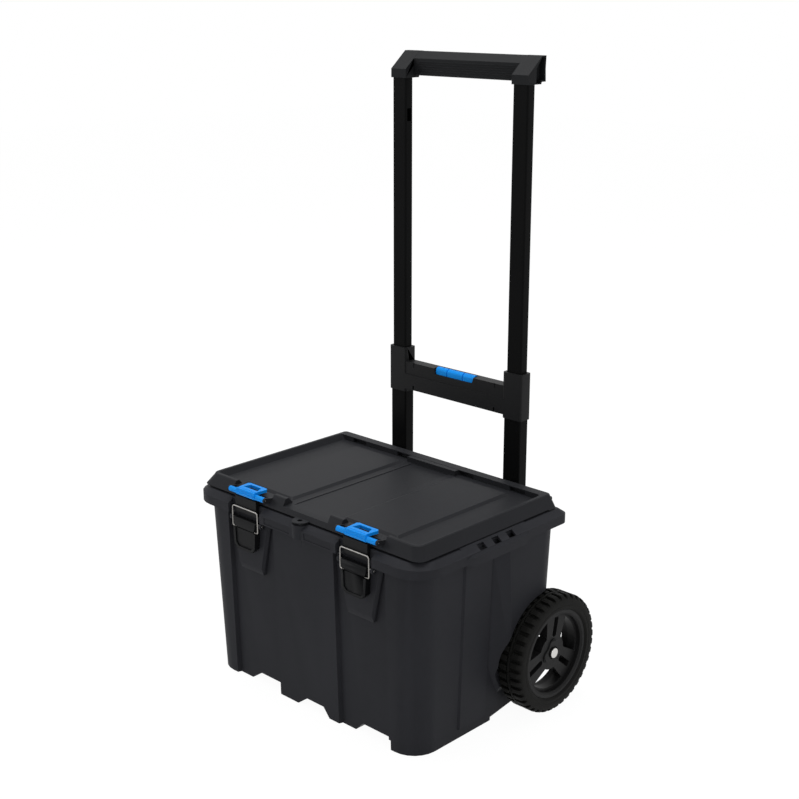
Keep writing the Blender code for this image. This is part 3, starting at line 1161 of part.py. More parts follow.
def build_brackets(name, side, looks):
    """Upper and lower brackets that hold an outer tube on the back of the tub, and their screws."""
    centre = side * TUBE_X
    half = BRACKET_HALF_WIDTH
    rear = TUBE_Y + OUTER_TUBE[1] / 2 + BRACKET_WALL
    seat = RIM_HALF_DEPTH + FIT_GAP
    low, high = UPPER_BRACKET
    upper = block((centre - half, centre + half), (seat, rear), UPPER_BRACKET)
    wide = (centre - FLANGE_HALF_WIDTH, centre + FLANGE_HALF_WIDTH)
    join(upper, block(wide, (seat, seat + FLANGE_THICKNESS), (low + FIT_GAP, high - FIT_GAP)))
    cut(upper, prism(tube_outline(OUTER_TUBE, centre, FIT_GAP), "z", low - REACH, high + REACH))
    for index, lean in enumerate((-1, 1), 1):
        place = (centre + lean * FLANGE_SCREW_X, (low + high) / 2)
        cut(upper, screw_hole("y", place, seat - REACH, seat + REACH))
        head = seat + FLANGE_THICKNESS + FIT_GAP
        tip = RIM_HALF_DEPTH - SCREW_BITE + FIT_GAP
        build_screw("upper_screw_%s_%d" % (name, index), "y", place, tip, head, looks["steel"])
    finish(upper, "upper_bracket_" + name, looks["handle"])
    front = OUTER_TUBE_FRONT - BRACKET_WALL
    lower = block((centre - half, centre + half), (front, rear), (LOWER_BRACKET_BOTTOM, LOWER_BRACKET_TOP))
    web = (centre - half + FIT_GAP, centre + half - FIT_GAP)
    join(lower, block(web, (LOWER_WEB_FRONT, front + BRACKET_WALL / 2), LOWER_WEB))
    socket = tube_outline(OUTER_TUBE, centre, FIT_GAP)
    cut(lower, prism(socket, "z", OUTER_TUBE_BOTTOM - FIT_GAP, LOWER_BRACKET_TOP + REACH))
    cut(lower, rod("x", (WHEEL_Y, WHEEL_RADIUS), AXLE_RADIUS + SLIDE_GAP, centre - REACH, centre + REACH))
    head = REAR_STEP_Z + TUB_FLOOR + FIT_GAP
    for index, lean in enumerate((-1, 1), 1):
        place = (centre + lean * WEB_SCREW_X, WEB_SCREW_Y)
        tip = head - SCREW_LENGTH
        cut(lower, screw_hole("z", place, tip - FIT_GAP, head))
        build_screw("lower_screw_%s_%d" % (name, index), "z", place, tip, head, looks["steel"])
    finish(lower, "lower_bracket_" + name, looks["handle"])


# Wheels

def window_outline(middle, steps):
    """An opening between two radii about the axle, wider outwards."""
    centre = (WHEEL_Y, WHEEL_RADIUS)
    inner, outer = WINDOW_HALF_ANGLES
    outline = arc(centre, WINDOW_RADII[0], middle - inner, middle + inner, steps)
    return outline + arc(centre, WINDOW_RADII[1], middle + outer, middle - outer, steps)


def slot_outline(middle):
    """A straight slot between two radii, its inner end round."""
    turn = Matrix.Rotation(math.radians(middle), 2)
    half = SLOT_HALF_WIDTH
    outline = arc((SLOT_RADII[0] + half, 0.0), half, 90, 270, 6)
    outline += [(SLOT_RADII[1], -half), (SLOT_RADII[1], half)]
    centre = Vector((WHEEL_Y, WHEEL_RADIUS))
    return [tuple(centre + turn @ Vector(point)) for point in outline]


def hub_outline(radius, steps):
    """The hub plate: a round plate drawn out into one lobe for each spoke."""
    outline = []
    for step in range(steps):
        angle = 2 * math.pi * step / steps
        lobe = math.cos(SPOKES * (angle - math.radians(WINDOW_ANGLE + 180.0 / SPOKES)))
        reach = radius + HUB_PLATE_LOBE * lobe
        outline.append((WHEEL_Y + reach * math.cos(angle), WHEEL_RADIUS + reach * math.sin(angle)))
    return outline


def build_wheel(name, side, looks):
    """Moulded rim, tyre, washer and push nut."""
    centre = (WHEEL_Y, WHEEL_RADIUS)
    inner = WHEEL_OUTER - TYRE_WIDTH
    outer = WHEEL_OUTER - RIM_INSET
    barrel = sided((
        (inner + RIM_INSET, RIM_INNER_RADIUS), (inner + RIM_INSET, TYRE_SEAT_RADIUS),
        (outer, TYRE_SEAT_RADIUS), (outer, RIM_INNER_RADIUS + RIM_INSET),
        (outer - RIM_INSET, RIM_INNER_RADIUS),
    ), side)
    low, high = sorted((side * DISC_OUTER, side * (DISC_OUTER - DISC_THICKNESS)))
    disc = rod("x", centre, RIM_INNER_RADIUS + RIM_INSET / 2, low, high, WHEEL_STEPS)
    for spoke in range(SPOKES):
        middle = WINDOW_ANGLE + 360.0 * spoke / SPOKES
        cut(disc, prism(window_outline(middle, 8), "x", low - RIM_INSET, high + RIM_INSET))
        cut(disc, prism(slot_outline(middle + 180.0 / SPOKES), "x", low - RIM_INSET, high + RIM_INSET))
    face = DISC_OUTER + HUB_PLATE_THICKNESS
    edge = face - HUB_PLATE_EDGE
    wide = HUB_PLATE_RADIUS
    levels = ((wide, DISC_OUTER - FIT_GAP), (wide, edge), (wide - HUB_PLATE_EDGE, face))
    join(disc, loft([lifted(hub_outline(radius, 36), "x", side * x) for radius, x in levels]))
    low, high = sorted((side * (DISC_OUTER - FIT_GAP * 2), side * HUB_INNER))
    join(disc, rod("x", centre, HUB_RADIUS, low, high, 24))
    cut(disc, rod("x", centre, AXLE_RADIUS + FIT_GAP, low - REACH, high + REACH, 24))
    rim = join(turned(barrel, centre, WHEEL_STEPS), disc)
    finish(rim, "wheel_rim_" + name, looks["wheel"], (0.0, *centre))

    shoulder = TREAD_SHOULDER
    seat = TYRE_SEAT_RADIUS + FIT_GAP
    crown = WHEEL_RADIUS - shoulder
    inner_round = arc((inner + shoulder, crown), shoulder, 180, 90, 3)
    outer_round = arc((WHEEL_OUTER - shoulder, crown), shoulder, 90, 0, 3)
    profile = [(inner + RIM_INSET, seat), (inner, seat + RIM_INSET)] + inner_round + outer_round
    profile += [(WHEEL_OUTER, seat + RIM_INSET), (WHEEL_OUTER - RIM_INSET, seat)]
    profile = sided(profile, side)
    finish(turned(profile, centre, WHEEL_STEPS), "tyre_" + name, looks["tyre"], (0.0, *centre))

    bore = AXLE_RADIUS + FIT_GAP
    washer = sorted((side * (AXLE_LUG[1] + FIT_GAP), side * (HUB_INNER - FIT_GAP)))
    ring = ((washer[0], bore), (washer[0], WASHER_RADIUS), (washer[1], WASHER_RADIUS), (washer[1], bore))
    finish(turned(ring, centre, 24), "wheel_washer_" + name, looks["steel"])
    nut = sorted((side * (face + FIT_GAP), side * (face + FIT_GAP + PUSH_NUT_THICKNESS)))
    cap = rod("x", centre, PUSH_NUT_RADIUS, nut[0], nut[1], 20)
    depth = sorted((side * (DISC_OUTER - REACH), side * (AXLE_HALF_LENGTH + FIT_GAP)))
    cut(cap, rod("x", centre, bore, depth[0], depth[1]))
    finish(cap, "push_nut_" + name, looks["steel"])


def build_axle(look):
    axle = rod("x", (WHEEL_Y, WHEEL_RADIUS), AXLE_RADIUS, -AXLE_HALF_LENGTH, AXLE_HALF_LENGTH)
    return finish(axle, "wheel_axle", look)


def main():
    clear_scene()
    looks = {
        "tub": material("tub_plastic", (0.028, 0.030, 0.034), 0.50),
        "lid": material("lid_plastic", (0.036, 0.038, 0.043), 0.48),
        "handle": material("handle_plastic", (0.024, 0.026, 0.028), 0.52),
        "latch": material("latch_plastic", (0.018, 0.019, 0.020), 0.42),
        "accent": material("accent_plastic", (0.010, 0.270, 0.800), 0.38),
        "tube": material("tube_coating", (0.010, 0.010, 0.011), 0.38, 0.6),
        "steel": material("bright_steel", (0.620, 0.610, 0.600), 0.25, 1.0),
        "wheel": material("wheel_plastic", (0.026, 0.026, 0.027), 0.50),
        "tyre": material("tyre_rubber", (0.018, 0.018, 0.017), 0.80),
        "seal": material("seal_rubber", (0.012, 0.012, 0.012), 0.85),
    }
    build_tub(looks["tub"])
    build_lid(looks["lid"])
    build_gasket(looks["seal"])
    build_hinge_rod(looks["steel"])
    for name, side in SIDES:
        build_latch(name, side, looks)
        build_stack_latch(name, side, looks)
        build_tubes(name, side, looks)
        build_brackets(name, side, looks)
        build_wheel(name, side, looks)
    build_bridge(looks["handle"])
    build_lock(looks)
    build_grip(looks)
    build_axle(looks["steel"])


main()
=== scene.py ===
"""Looks of a rolling toolbox: a lidded tub on two wheels with a telescopic pull handle.

Metres, +Z up, +Y towards the handle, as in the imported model.
"""
import json
import math

import bmesh
import bpy
from mathutils import Matrix, Vector


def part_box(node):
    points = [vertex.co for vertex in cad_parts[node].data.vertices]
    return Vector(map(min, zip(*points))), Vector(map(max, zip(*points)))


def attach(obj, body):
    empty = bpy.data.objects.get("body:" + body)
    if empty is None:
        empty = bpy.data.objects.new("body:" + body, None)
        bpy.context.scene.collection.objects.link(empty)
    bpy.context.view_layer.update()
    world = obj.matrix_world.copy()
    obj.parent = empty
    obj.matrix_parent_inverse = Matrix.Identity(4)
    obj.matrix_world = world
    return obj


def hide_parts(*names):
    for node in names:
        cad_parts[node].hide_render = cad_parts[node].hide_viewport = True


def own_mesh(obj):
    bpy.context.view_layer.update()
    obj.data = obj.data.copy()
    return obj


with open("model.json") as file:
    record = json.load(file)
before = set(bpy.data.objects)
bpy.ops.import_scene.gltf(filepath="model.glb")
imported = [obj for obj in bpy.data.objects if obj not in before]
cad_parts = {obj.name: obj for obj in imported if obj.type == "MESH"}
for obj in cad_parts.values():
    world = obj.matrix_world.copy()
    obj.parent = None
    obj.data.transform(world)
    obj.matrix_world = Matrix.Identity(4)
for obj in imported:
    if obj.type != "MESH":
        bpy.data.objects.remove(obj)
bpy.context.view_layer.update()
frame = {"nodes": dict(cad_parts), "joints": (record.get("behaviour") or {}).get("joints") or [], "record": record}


# Camera
# It stands in front and to the right, a little above the lid, where the photograph was taken. Its
# lens, place and turn are fitted to the corners of the rim, the feet, the wheels and the tubes.

CAMERA_LENS = 61.95
CAMERA_PLACE = (1.51164, -1.54566, 1.13658)
CAMERA_TILT = 73.407
CAMERA_TURN = 43.799


def placed(name, data):
    """A new object in the scene, made of the given data."""
    made = bpy.data.objects.new(name, data)
    bpy.context.scene.collection.objects.link(made)
    return made


camera = placed("camera", bpy.data.cameras.new("camera"))
camera.data.lens = CAMERA_LENS
camera.location = CAMERA_PLACE
camera.rotation_euler = (math.radians(CAMERA_TILT), 0.0, math.radians(CAMERA_TURN))
bpy.context.scene.camera = camera
bpy.context.scene.view_settings.view_transform = "Standard"


# Studio
# A wide white sheet lies under the box. Large soft boxes stand above it, to the left and to the
# right, and a pale sky fills the shadows.

STUDIO_WHITE = (0.93, 0.93, 0.93, 1.0)
SHEET_HALF = 9.0
SHEET_ROUGHNESS = 0.9
SHEET_GLOW = 1.06
SHEET_GLOW_SHARE = 0.9
SKY_WHITE = (1.0, 1.0, 1.0, 1.0)
SKY_STRENGTH = 0.42
SKY_GLOW = 1.0
SKY_GLOW_SHARE = 1.0
SOFT_BOXES = (
    ("soft_box_top", (-0.5, 0.2, 3.2), (0.0, 0.0, 0.3), 2.4, 52.0),
    ("soft_box_left", (-2.4, -2.4, 1.6), (0.0, 0.0, 0.35), 1.6, 14.0),
    ("soft_box_right", (3.0, -0.6, 1.7), (0.1, 0.0, 0.3), 1.4, 14.0),
)


def seen_as_white(tree, lit, glow, share):
    """Shows white to the camera and to glossy and clear surfaces, over the lit surface."""
    path = tree.nodes.new("ShaderNodeLightPath")
    seen = path.outputs["Is Camera Ray"]
    for ray in ("Is Glossy Ray", "Is Transmission Ray"):
        either = tree.nodes.new("ShaderNodeMath")
        either.operation = "MAXIMUM"
        tree.links.new(seen, either.inputs[0])
        tree.links.new(path.outputs[ray], either.inputs[1])
        seen = either.outputs[0]
    part = tree.nodes.new("ShaderNodeMath")
    part.operation = "MULTIPLY"
    part.inputs[1].default_value = share
    tree.links.new(seen, part.inputs[0])
    white = tree.nodes.new("ShaderNodeEmission")
    white.inputs["Strength"].default_value = glow
    mix = tree.nodes.new("ShaderNodeMixShader")
    tree.links.new(part.outputs[0], mix.inputs[0])
    tree.links.new(lit, mix.inputs[1])
    tree.links.new(white.outputs[0], mix.inputs[2])
    return mix.outputs[0]


world = bpy.data.worlds.new("studio_sky")
bpy.context.scene.world = world
world.use_nodes = True
sky = world.node_tree.nodes["Background"]
sky.inputs["Color"].default_value = SKY_WHITE
sky.inputs["Strength"].default_value = SKY_STRENGTH
shown = seen_as_white(world.node_tree, sky.outputs[0], SKY_GLOW, SKY_GLOW_SHARE)
world.node_tree.links.new(shown, world.node_tree.nodes["World Output"].inputs["Surface"])

sheet_look = bpy.data.materials.new("studio_sheet")
sheet_look.use_nodes = True
sheet_shader = sheet_look.node_tree.nodes["Principled BSDF"]
sheet_shader.inputs["Base Color"].default_value = STUDIO_WHITE
sheet_shader.inputs["Roughness"].default_value = SHEET_ROUGHNESS
shown = seen_as_white(sheet_look.node_tree, sheet_shader.outputs[0], SHEET_GLOW, SHEET_GLOW_SHARE)
sheet_look.node_tree.links.new(shown, sheet_look.node_tree.nodes["Material Output"].inputs["Surface"])
sheet_mesh = bpy.data.meshes.new("studio_sheet")
corners = [(x * SHEET_HALF, y * SHEET_HALF, 0.0) for x, y in ((-1, -1), (1, -1), (1, 1), (-1, 1))]
sheet_mesh.from_pydata(corners, [], [(0, 1, 2, 3)])
sheet_mesh.materials.append(sheet_look)
floor = placed("studio_sheet", sheet_mesh)

for name, place, target, size, power in SOFT_BOXES:
    lamp = placed(name, bpy.data.lights.new(name, "AREA"))
    lamp.data.shape = "DISK"
    lamp.data.size = size
    lamp.data.energy = power
    lamp.location = place
    lamp.rotation_euler = (Vector(target) - Vector(place)).to_track_quat("-Z", "Y").to_euler()


# Tub
# One deep moulding in charcoal polypropylene with a fine grain, its edges rounded by the mould.
# The wheel pockets, feet and latch bases belong to it, and two shallow panels in its rim's band.

TUB_GREY = (0.0229, 0.0235, 0.0274)
GRAIN_PER_METRE = 1500.0
GRAIN_HEIGHT = 0.0002
GRAIN_DETAIL = 3.0
MOTTLE_PER_METRE = 7.0
MOTTLE_DETAIL = 6.0
MOTTLE_ROUGHNESS = 0.62
MOTTLE_STOPS = (0.30, 0.70)
GLOSS_SPREAD = 0.06
# How much paler the sharp outer edges are painted: partly wear, partly a painted highlight.
EDGE_WEAR_AND_HIGHLIGHT = 1.15
EDGE_WEAR_AND_HIGHLIGHT_POINTINESS = (0.53, 0.62)
MERGE_DISTANCE = 0.00001
FLAT_ANGLE = 0.8
ROUNDING_ANGLE = 25.0
WEIGHT_BY_AREA = 100
RIM_FOOT = 0.3080
RIM_FRONT = -0.20435
BAND_PANEL_START = 0.0170
BAND_PANEL_END = 0.0780
BAND_PANEL_LOW = 0.0025
BAND_PANEL_HEIGHT = 0.0105
BAND_PANEL_DEPTH = 0.0008
OVERRUN = 0.0010
TUB_EDGE = 0.0007


def tinted(colour, share):
    """A colour made paler or darker, with its alpha."""
    return (*[min(1.0, part * share) for part in colour], 1.0)


def moulded(name, colour, roughness, gloss, grain=0.25, spread=0.10):
    """A grained plastic: fine bumps, a faint mottle, patches of less gloss, and sharp outer edges painted paler,
    partly as wear and partly as a painted highlight.
    """
    made = bpy.data.materials.new(name)
    made.use_nodes = True
    tree = made.node_tree
    shader = tree.nodes["Principled BSDF"]
    shader.inputs["Specular IOR Level"].default_value = gloss
    place = tree.nodes.new("ShaderNodeTexCoord").outputs["Object"]
    mottle = tree.nodes.new("ShaderNodeTexNoise")
    mottle.inputs["Scale"].default_value = MOTTLE_PER_METRE
    mottle.inputs["Detail"].default_value = MOTTLE_DETAIL
    mottle.inputs["Roughness"].default_value = MOTTLE_ROUGHNESS
    tree.links.new(place, mottle.inputs["Vector"])
    tones = tree.nodes.new("ShaderNodeValToRGB")
    tones.color_ramp.elements[0].position = MOTTLE_STOPS[0]
    tones.color_ramp.elements[0].color = tinted(colour, 1.0 - spread)
    tones.color_ramp.elements[1].position = MOTTLE_STOPS[1]
    tones.color_ramp.elements[1].color = tinted(colour, 1.0 + spread)
    tree.links.new(mottle.outputs["Fac"], tones.inputs["Fac"])
    # Sharp outer edges painted paler: partly wear, partly a painted highlight along them.
    edges = tree.nodes.new("ShaderNodeMapRange")
    edges.inputs["From Min"].default_value = EDGE_WEAR_AND_HIGHLIGHT_POINTINESS[0]
    edges.inputs["From Max"].default_value = EDGE_WEAR_AND_HIGHLIGHT_POINTINESS[1]
    tree.links.new(tree.nodes.new("ShaderNodeNewGeometry").outputs["Pointiness"], edges.inputs["Value"])
    edge_wear_and_highlight = tree.nodes.new("ShaderNodeMix")
    edge_wear_and_highlight.data_type = "RGBA"
    edge_wear_and_highlight.inputs["B"].default_value = tinted(colour, EDGE_WEAR_AND_HIGHLIGHT)
    tree.links.new(edges.outputs["Result"], edge_wear_and_highlight.inputs["Factor"])
    tree.links.new(tones.outputs["Color"], edge_wear_and_highlight.inputs["A"])
    tree.links.new(edge_wear_and_highlight.outputs["Result"], shader.inputs["Base Color"])
    sheen = tree.nodes.new("ShaderNodeMapRange")
    sheen.inputs["To Min"].default_value = roughness - GLOSS_SPREAD
    sheen.inputs["To Max"].default_value = roughness + GLOSS_SPREAD
    tree.links.new(mottle.outputs["Fac"], sheen.inputs["Value"])
    tree.links.new(sheen.outputs["Result"], shader.inputs["Roughness"])
    fine = tree.nodes.new("ShaderNodeTexNoise")
    fine.inputs["Scale"].default_value = GRAIN_PER_METRE
    fine.inputs["Detail"].default_value = GRAIN_DETAIL
    tree.links.new(place, fine.inputs["Vector"])
    bump = tree.nodes.new("ShaderNodeBump")
    bump.inputs["Strength"].default_value = grain
    bump.inputs["Distance"].default_value = GRAIN_HEIGHT
    tree.links.new(fine.outputs["Fac"], bump.inputs["Height"])
    tree.links.new(bump.outputs["Normal"], shader.inputs["Normal"])
    return made


def plain_copy(node, name):
    """A new object with a node's solid, its loose triangles merged into whole faces."""
    made = placed(name, frame["nodes"][node].data.copy())
    work = bmesh.new()
    work.from_mesh(made.data)
    bmesh.ops.remove_doubles(work, verts=work.verts, dist=MERGE_DISTANCE)
    flat = math.radians(FLAT_ANGLE)
    bmesh.ops.dissolve_limit(work, angle_limit=flat, verts=work.verts, edges=work.edges)
    work.to_mesh(made.data)
    work.free()
    return made


def baked(made):
    """Turns an object's modifiers into plain mesh."""
    graph = bpy.context.evaluated_depsgraph_get()
    mesh = bpy.data.meshes.new_from_object(made.evaluated_get(graph))
    made.modifiers.clear()
    made.data = mesh
    return made


def softened(made, width, steps=2, angle=ROUNDING_ANGLE):
    """Rounds the edges of a moulding."""
    bevel = made.modifiers.new("rounding", "BEVEL")
    bevel.width = width
    bevel.segments = steps
    bevel.limit_method = "ANGLE"
    bevel.angle_limit = math.radians(angle)
    bevel.use_clamp_overlap = True
    made.data.shade_smooth()
    even = made.modifiers.new("even_shading", "WEIGHTED_NORMAL")
    even.weight = WEIGHT_BY_AREA
    return baked(made)


def closed_shape(name, points, faces):
    """A new object from points and faces, every face turned outwards."""
    mesh = bpy.data.meshes.new(name)
    mesh.from_pydata(points, [], faces)
    work = bmesh.new()
    work.from_mesh(mesh)
    bmesh.ops.recalc_face_normals(work, faces=work.faces)
    work.to_mesh(mesh)
    work.free()
    return placed(name, mesh)


def extruded(name, outline, axis, low, high):
    """A closed prism: an outline across one axis, drawn out along it."""
    place = {
        "x": lambda a, b, along: (along, a, b),
        "y": lambda a, b, along: (a, along, b),
        "z": lambda a, b, along: (a, b, along),
    }[axis]
    count = len(outline)
    points = [place(a, b, along) for along in (low, high) for a, b in outline]
    faces = [tuple(range(count)), tuple(range(count, 2 * count))]
    faces += [(i, (i + 1) % count, (i + 1) % count + count, i + count) for i in range(count)]
    return closed_shape(name, points, faces)


def brick(name, xs, ys, zs):
    """A closed block between three pairs of planes."""
    outline = [(xs[0], ys[0]), (xs[1], ys[0]), (xs[1], ys[1]), (xs[0], ys[1])]
    return extruded(name, outline, "z", *zs)


def carved(made, *tools, way="DIFFERENCE"):
    """Cuts tools out of a moulding, or keeps only what lies inside them."""
    for tool in tools:
        cut = made.modifiers.new("cut", "BOOLEAN")
        cut.object = tool
        cut.operation = way
        cut.solver = "EXACT"
        baked(made)
        bpy.data.objects.remove(tool)
    return made


def dressed(made, look, slot, body, *nodes):
    """Gives a piece its material, and puts it on its body in place of CAD nodes."""
    made.data.materials.clear()
    made.data.materials.append(look)
    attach(made, body)
    if nodes:
        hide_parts(*nodes)
    return made


tub_look = moulded("tub_plastic_grained", TUB_GREY, roughness=0.52, gloss=0.06)
tub = plain_copy("tub_shell", "tub")
for sign in (-1, 1):
    carved(tub, brick(
        "band_panel", sorted((sign * BAND_PANEL_START, sign * BAND_PANEL_END)),
        (RIM_FRONT - OVERRUN, RIM_FRONT + BAND_PANEL_DEPTH),
        (RIM_FOOT + BAND_PANEL_LOW, RIM_FOOT + BAND_PANEL_LOW + BAND_PANEL_HEIGHT),
    ))
softened(tub, TUB_EDGE)
dressed(tub, tub_look, "tub_plastic", "tub", "tub_shell")


# Lid
# A ribbed panel in the tub's charcoal, painted slightly darker than the tub as painted shade
# against the stronger light on its top, moulded with its skirt and its half of the hinge knuckles.
# The keepers for the draw latches are parted from it, and finished in latch black.

# The lid's colour: the tub's charcoal painted darker as painted shade, against the light on its top.
LID_GREY_WITH_PAINTED_SHADE = (0.0180, 0.0186, 0.0212)
LID_EDGE = 0.0007
CHANNEL_HALF = 0.0420
CHANNEL_DEPTH = 0.0009
CHANNEL_FRONT = 0.0240
CHANNEL_REAR = 0.0440
CHANNEL_ROOM = 0.0040
FIELD_TOP = 0.3445
LATCH_X = 0.1280
KEEPER_HALF = 0.0262
KEEPER_FRONT = -0.2050
KEEPER_ROOT = -0.19185
KEEPER_LOW = 0.3115
KEEPER_HIGH = 0.3409
SKIRT_FOOT = 0.3330
SHADOW_GAP = 0.0013
SHADOW_GAP_END = 0.1150
SIDES = {"left": -1, "right": 1}


def about(middle, half):
    """Two planes at one distance on both sides of a middle."""
    return (middle - half, middle + half)


low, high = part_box("lid_panel")
# The lid's material is painted darker than the tub's as painted shade.
lid_look = moulded("lid_plastic_grained_painted_shade", LID_GREY_WITH_PAINTED_SHADE, roughness=0.50, gloss=0.07)
lid = plain_copy("lid_panel", "lid")
channel = brick(
    "channel", about(0.0, CHANNEL_HALF), (low[1] + CHANNEL_FRONT, high[1] - CHANNEL_REAR),
    (FIELD_TOP - CHANNEL_DEPTH, FIELD_TOP + CHANNEL_ROOM),
)
keepers = {}
for side, sign in SIDES.items():
    room = (about(sign * LATCH_X, KEEPER_HALF), (KEEPER_FRONT, KEEPER_ROOT), (KEEPER_LOW, KEEPER_HIGH))
    keeper = plain_copy("lid_panel", "keeper_" + side)
    keepers[side] = carved(keeper, brick("keeper_room", *room), way="INTERSECT")
    carved(lid, brick("keeper_room", *room))
skirt_foot = brick(
    "skirt_foot", (low[0] - OVERRUN, high[0] + OVERRUN), (low[1] - OVERRUN, SHADOW_GAP_END),
    (SKIRT_FOOT - OVERRUN, SKIRT_FOOT + SHADOW_GAP),
)
softened(carved(lid, channel, skirt_foot), LID_EDGE)
dressed(lid, lid_look, "lid_plastic", "lid", "lid_panel")


# Gasket
# A soft black rubber seal, pushed into a groove under the edge of the lid. It presses on to the
# mouth of the tub when the draw latches are shut.

SEAL_BLACK = (0.0090, 0.0090, 0.0090)
SEAL_EDGE = 0.0004

seal_look = moulded("gasket_rubber_matt", SEAL_BLACK, roughness=0.85, gloss=0.20, grain=0.40)
gasket = softened(plain_copy("lid_gasket", "gasket"), SEAL_EDGE)
dressed(gasket, seal_look, "seal_rubber", "lid", "lid_gasket")


# Hinge rod
# A drawn steel wire, plain zinc plated, pushed through the knuckles of the tub and the lid. The
# lid turns on it, and it stays with the tub.

STEEL_GREY = (0.60, 0.59, 0.57)
PIN_EDGE = 0.0003


def plated(name, colour, roughness):
    """Zinc-plated steel: a fine grain, cloudy patches of gloss, and edges painted slightly paler, partly as wear
    and partly as a painted highlight.
    """
    made = moulded(name, colour, roughness, gloss=0.50, grain=0.10, spread=0.05)
    shader = made.node_tree.nodes["Principled BSDF"]
    shader.inputs["Metallic"].default_value = 1.0
    return made


steel_look = plated("zinc_plated_steel", STEEL_GREY, roughness=0.30)
hinge_rod = softened(plain_copy("lid_hinge_rod", "hinge_rod"), PIN_EDGE)
dressed(hinge_rod, steel_look, "bright_steel", "tub", "lid_hinge_rod")


# Draw latches
# Black glass-filled levers on steel pins in the ears of the tub. Each pulls a steel wire bail
# down over its keeper on the lid. A slot parts its shield from the tapered block above.

LATCH_BLACK = (0.0054, 0.0057, 0.0064)
WIRE_GREY = (0.32, 0.31, 0.295)
SLOT_DROP = 0.0145
SLOT_HEIGHT = 0.0030
SLOT_DEPTH = 0.0035
SLOT_HALF = 0.0235
BLOCK_TAPER = 0.0045
TAPER_DROP = 0.0040
WIRE_EXCESS = 0.00035
LEVER_EDGE = 0.0005


def thinned(made, amount):
    """Draws a wire's surface in towards its own middle line."""
    moves = [vert.normal * amount for vert in made.data.vertices]
    for vert, move in zip(made.data.vertices, moves):
        vert.co -= move
    return made


joint_place = {joint["name"]: joint["pos_m"] for joint in frame["joints"] if "pos_m" in joint}
wire_look = plated("bail_wire_steel", WIRE_GREY, roughness=0.42)
latch_look = moulded("latch_plastic_satin", LATCH_BLACK, roughness=0.44, gloss=0.10, grain=0.12)
for side in SIDES:
    low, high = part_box("latch_lever_" + side)
    centre = (low[0] + high[0]) / 2
    edge = high[0] - centre
    pivot = joint_place["lever_%s_turn" % side][2]
    slot_foot = pivot - SLOT_DROP
    taper_end = pivot - TAPER_DROP
    depth = (low[1] - OVERRUN, low[1] + SLOT_DEPTH)
    tools = [brick("slot", about(centre, SLOT_HALF), depth, (slot_foot, slot_foot + SLOT_HEIGHT))]
    for lean in (-1, 1):
        outside = centre + lean * (edge + OVERRUN)
        wedge = [
            (centre + lean * (edge - BLOCK_TAPER), slot_foot), (outside, slot_foot),
            (outside, taper_end), (centre + lean * edge, taper_end),
        ]
        tools.append(extruded("taper", wedge, "y", *depth))
    lever = plain_copy("latch_lever_" + side, "lever_" + side)
    softened(carved(lever, *tools), LEVER_EDGE)
    dressed(lever, latch_look, "latch_plastic", "lever_" + side, "latch_lever_" + side)
    dressed(softened(keepers[side], LEVER_EDGE), latch_look, "latch_plastic", "lid")
    pin = softened(plain_copy("latch_pin_" + side, "lever_pin_" + side), PIN_EDGE)
    dressed(pin, steel_look, "bright_steel", "tub", "latch_pin_" + side)
    bail = thinned(plain_copy("latch_bail_" + side, "wire_bail_" + side), WIRE_EXCESS)
    bail.data.shade_smooth()
    dressed(bail, wire_look, "bright_steel", "bail_" + side, "latch_bail_" + side)


# Stacking latches
# Bright blue mouldings that hinge in bays at the front of the lid, and lock a second box on top.
# Each has two round ears, a finger window and a nose with three steps down its front.

LATCH_BLUE = (0.0036, 0.268, 0.820)
WINDOW_FRONT_HALF = 0.0175
WINDOW_REAR_HALF = 0.0125
WINDOW_FRONT = -0.1885
WINDOW_REAR = -0.1762
WINDOW_DEPTH = 0.0055
NOSE_HALF = 0.0225
NOSE = (
    (-0.0030, 0.0080), (-0.0046, 0.0078), (-0.0050, 0.0058), (-0.0043, 0.0056), (-0.0043, 0.0050),
    (-0.0050, 0.0040), (-0.0055, 0.0021), (-0.0048, 0.0019), (-0.0048, 0.0013), (-0.0058, 0.0010),
    (-0.0057, -0.0012), (-0.0046, -0.0034), (-0.0020, -0.0048), (0.0000, 0.0000),
)
STACK_EDGE = 0.0006
NOSE_EDGE = 0.0003

blue_look = moulded("stacking_latch_blue", LATCH_BLUE, roughness=0.40, gloss=0.10, grain=0.05, spread=0.04)
for side in SIDES:
    low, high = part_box("stack_latch_" + side)
    centre = (low[0] + high[0]) / 2
    window = [
        (centre - WINDOW_FRONT_HALF, WINDOW_FRONT), (centre + WINDOW_FRONT_HALF, WINDOW_FRONT),
        (centre + WINDOW_REAR_HALF, WINDOW_REAR), (centre - WINDOW_REAR_HALF, WINDOW_REAR),
    ]
    stack = plain_copy("stack_latch_" + side, "stack_" + side)
    carved(stack, extruded("window", window, "z", high[2] - WINDOW_DEPTH, high[2] + OVERRUN))
    softened(stack, STACK_EDGE)
    dressed(stack, blue_look, "accent_plastic", "stack_" + side, "stack_latch_" + side)
    axis_y, axis_z = joint_place["stack_%s_turn" % side][1:]
    section = [(axis_y + y, axis_z + z) for y, z in NOSE]
    nose = extruded("stack_nose_" + side, section, "x", *about(centre, NOSE_HALF))
    dressed(softened(nose, NOSE_EDGE), blue_look, "accent_plastic", "stack_" + side)
    pin = softened(plain_copy("stack_latch_pin_" + side, "stack_pin_" + side), PIN_EDGE)
    dressed(pin, steel_look, "bright_steel", "lid", "stack_latch_pin_" + side)


# Handle tubes
# Two pairs of rectangular tubes in black powder-coated steel. The inner pair slides in the outer
# pair on a plastic glide, and has a lock slot near each end of its travel.

TUBE_BLACK = (0.0044, 0.0045, 0.0046)
GLIDE_BLACK = (0.0100, 0.0100, 0.0110)
TUBE_EDGE = 0.0004

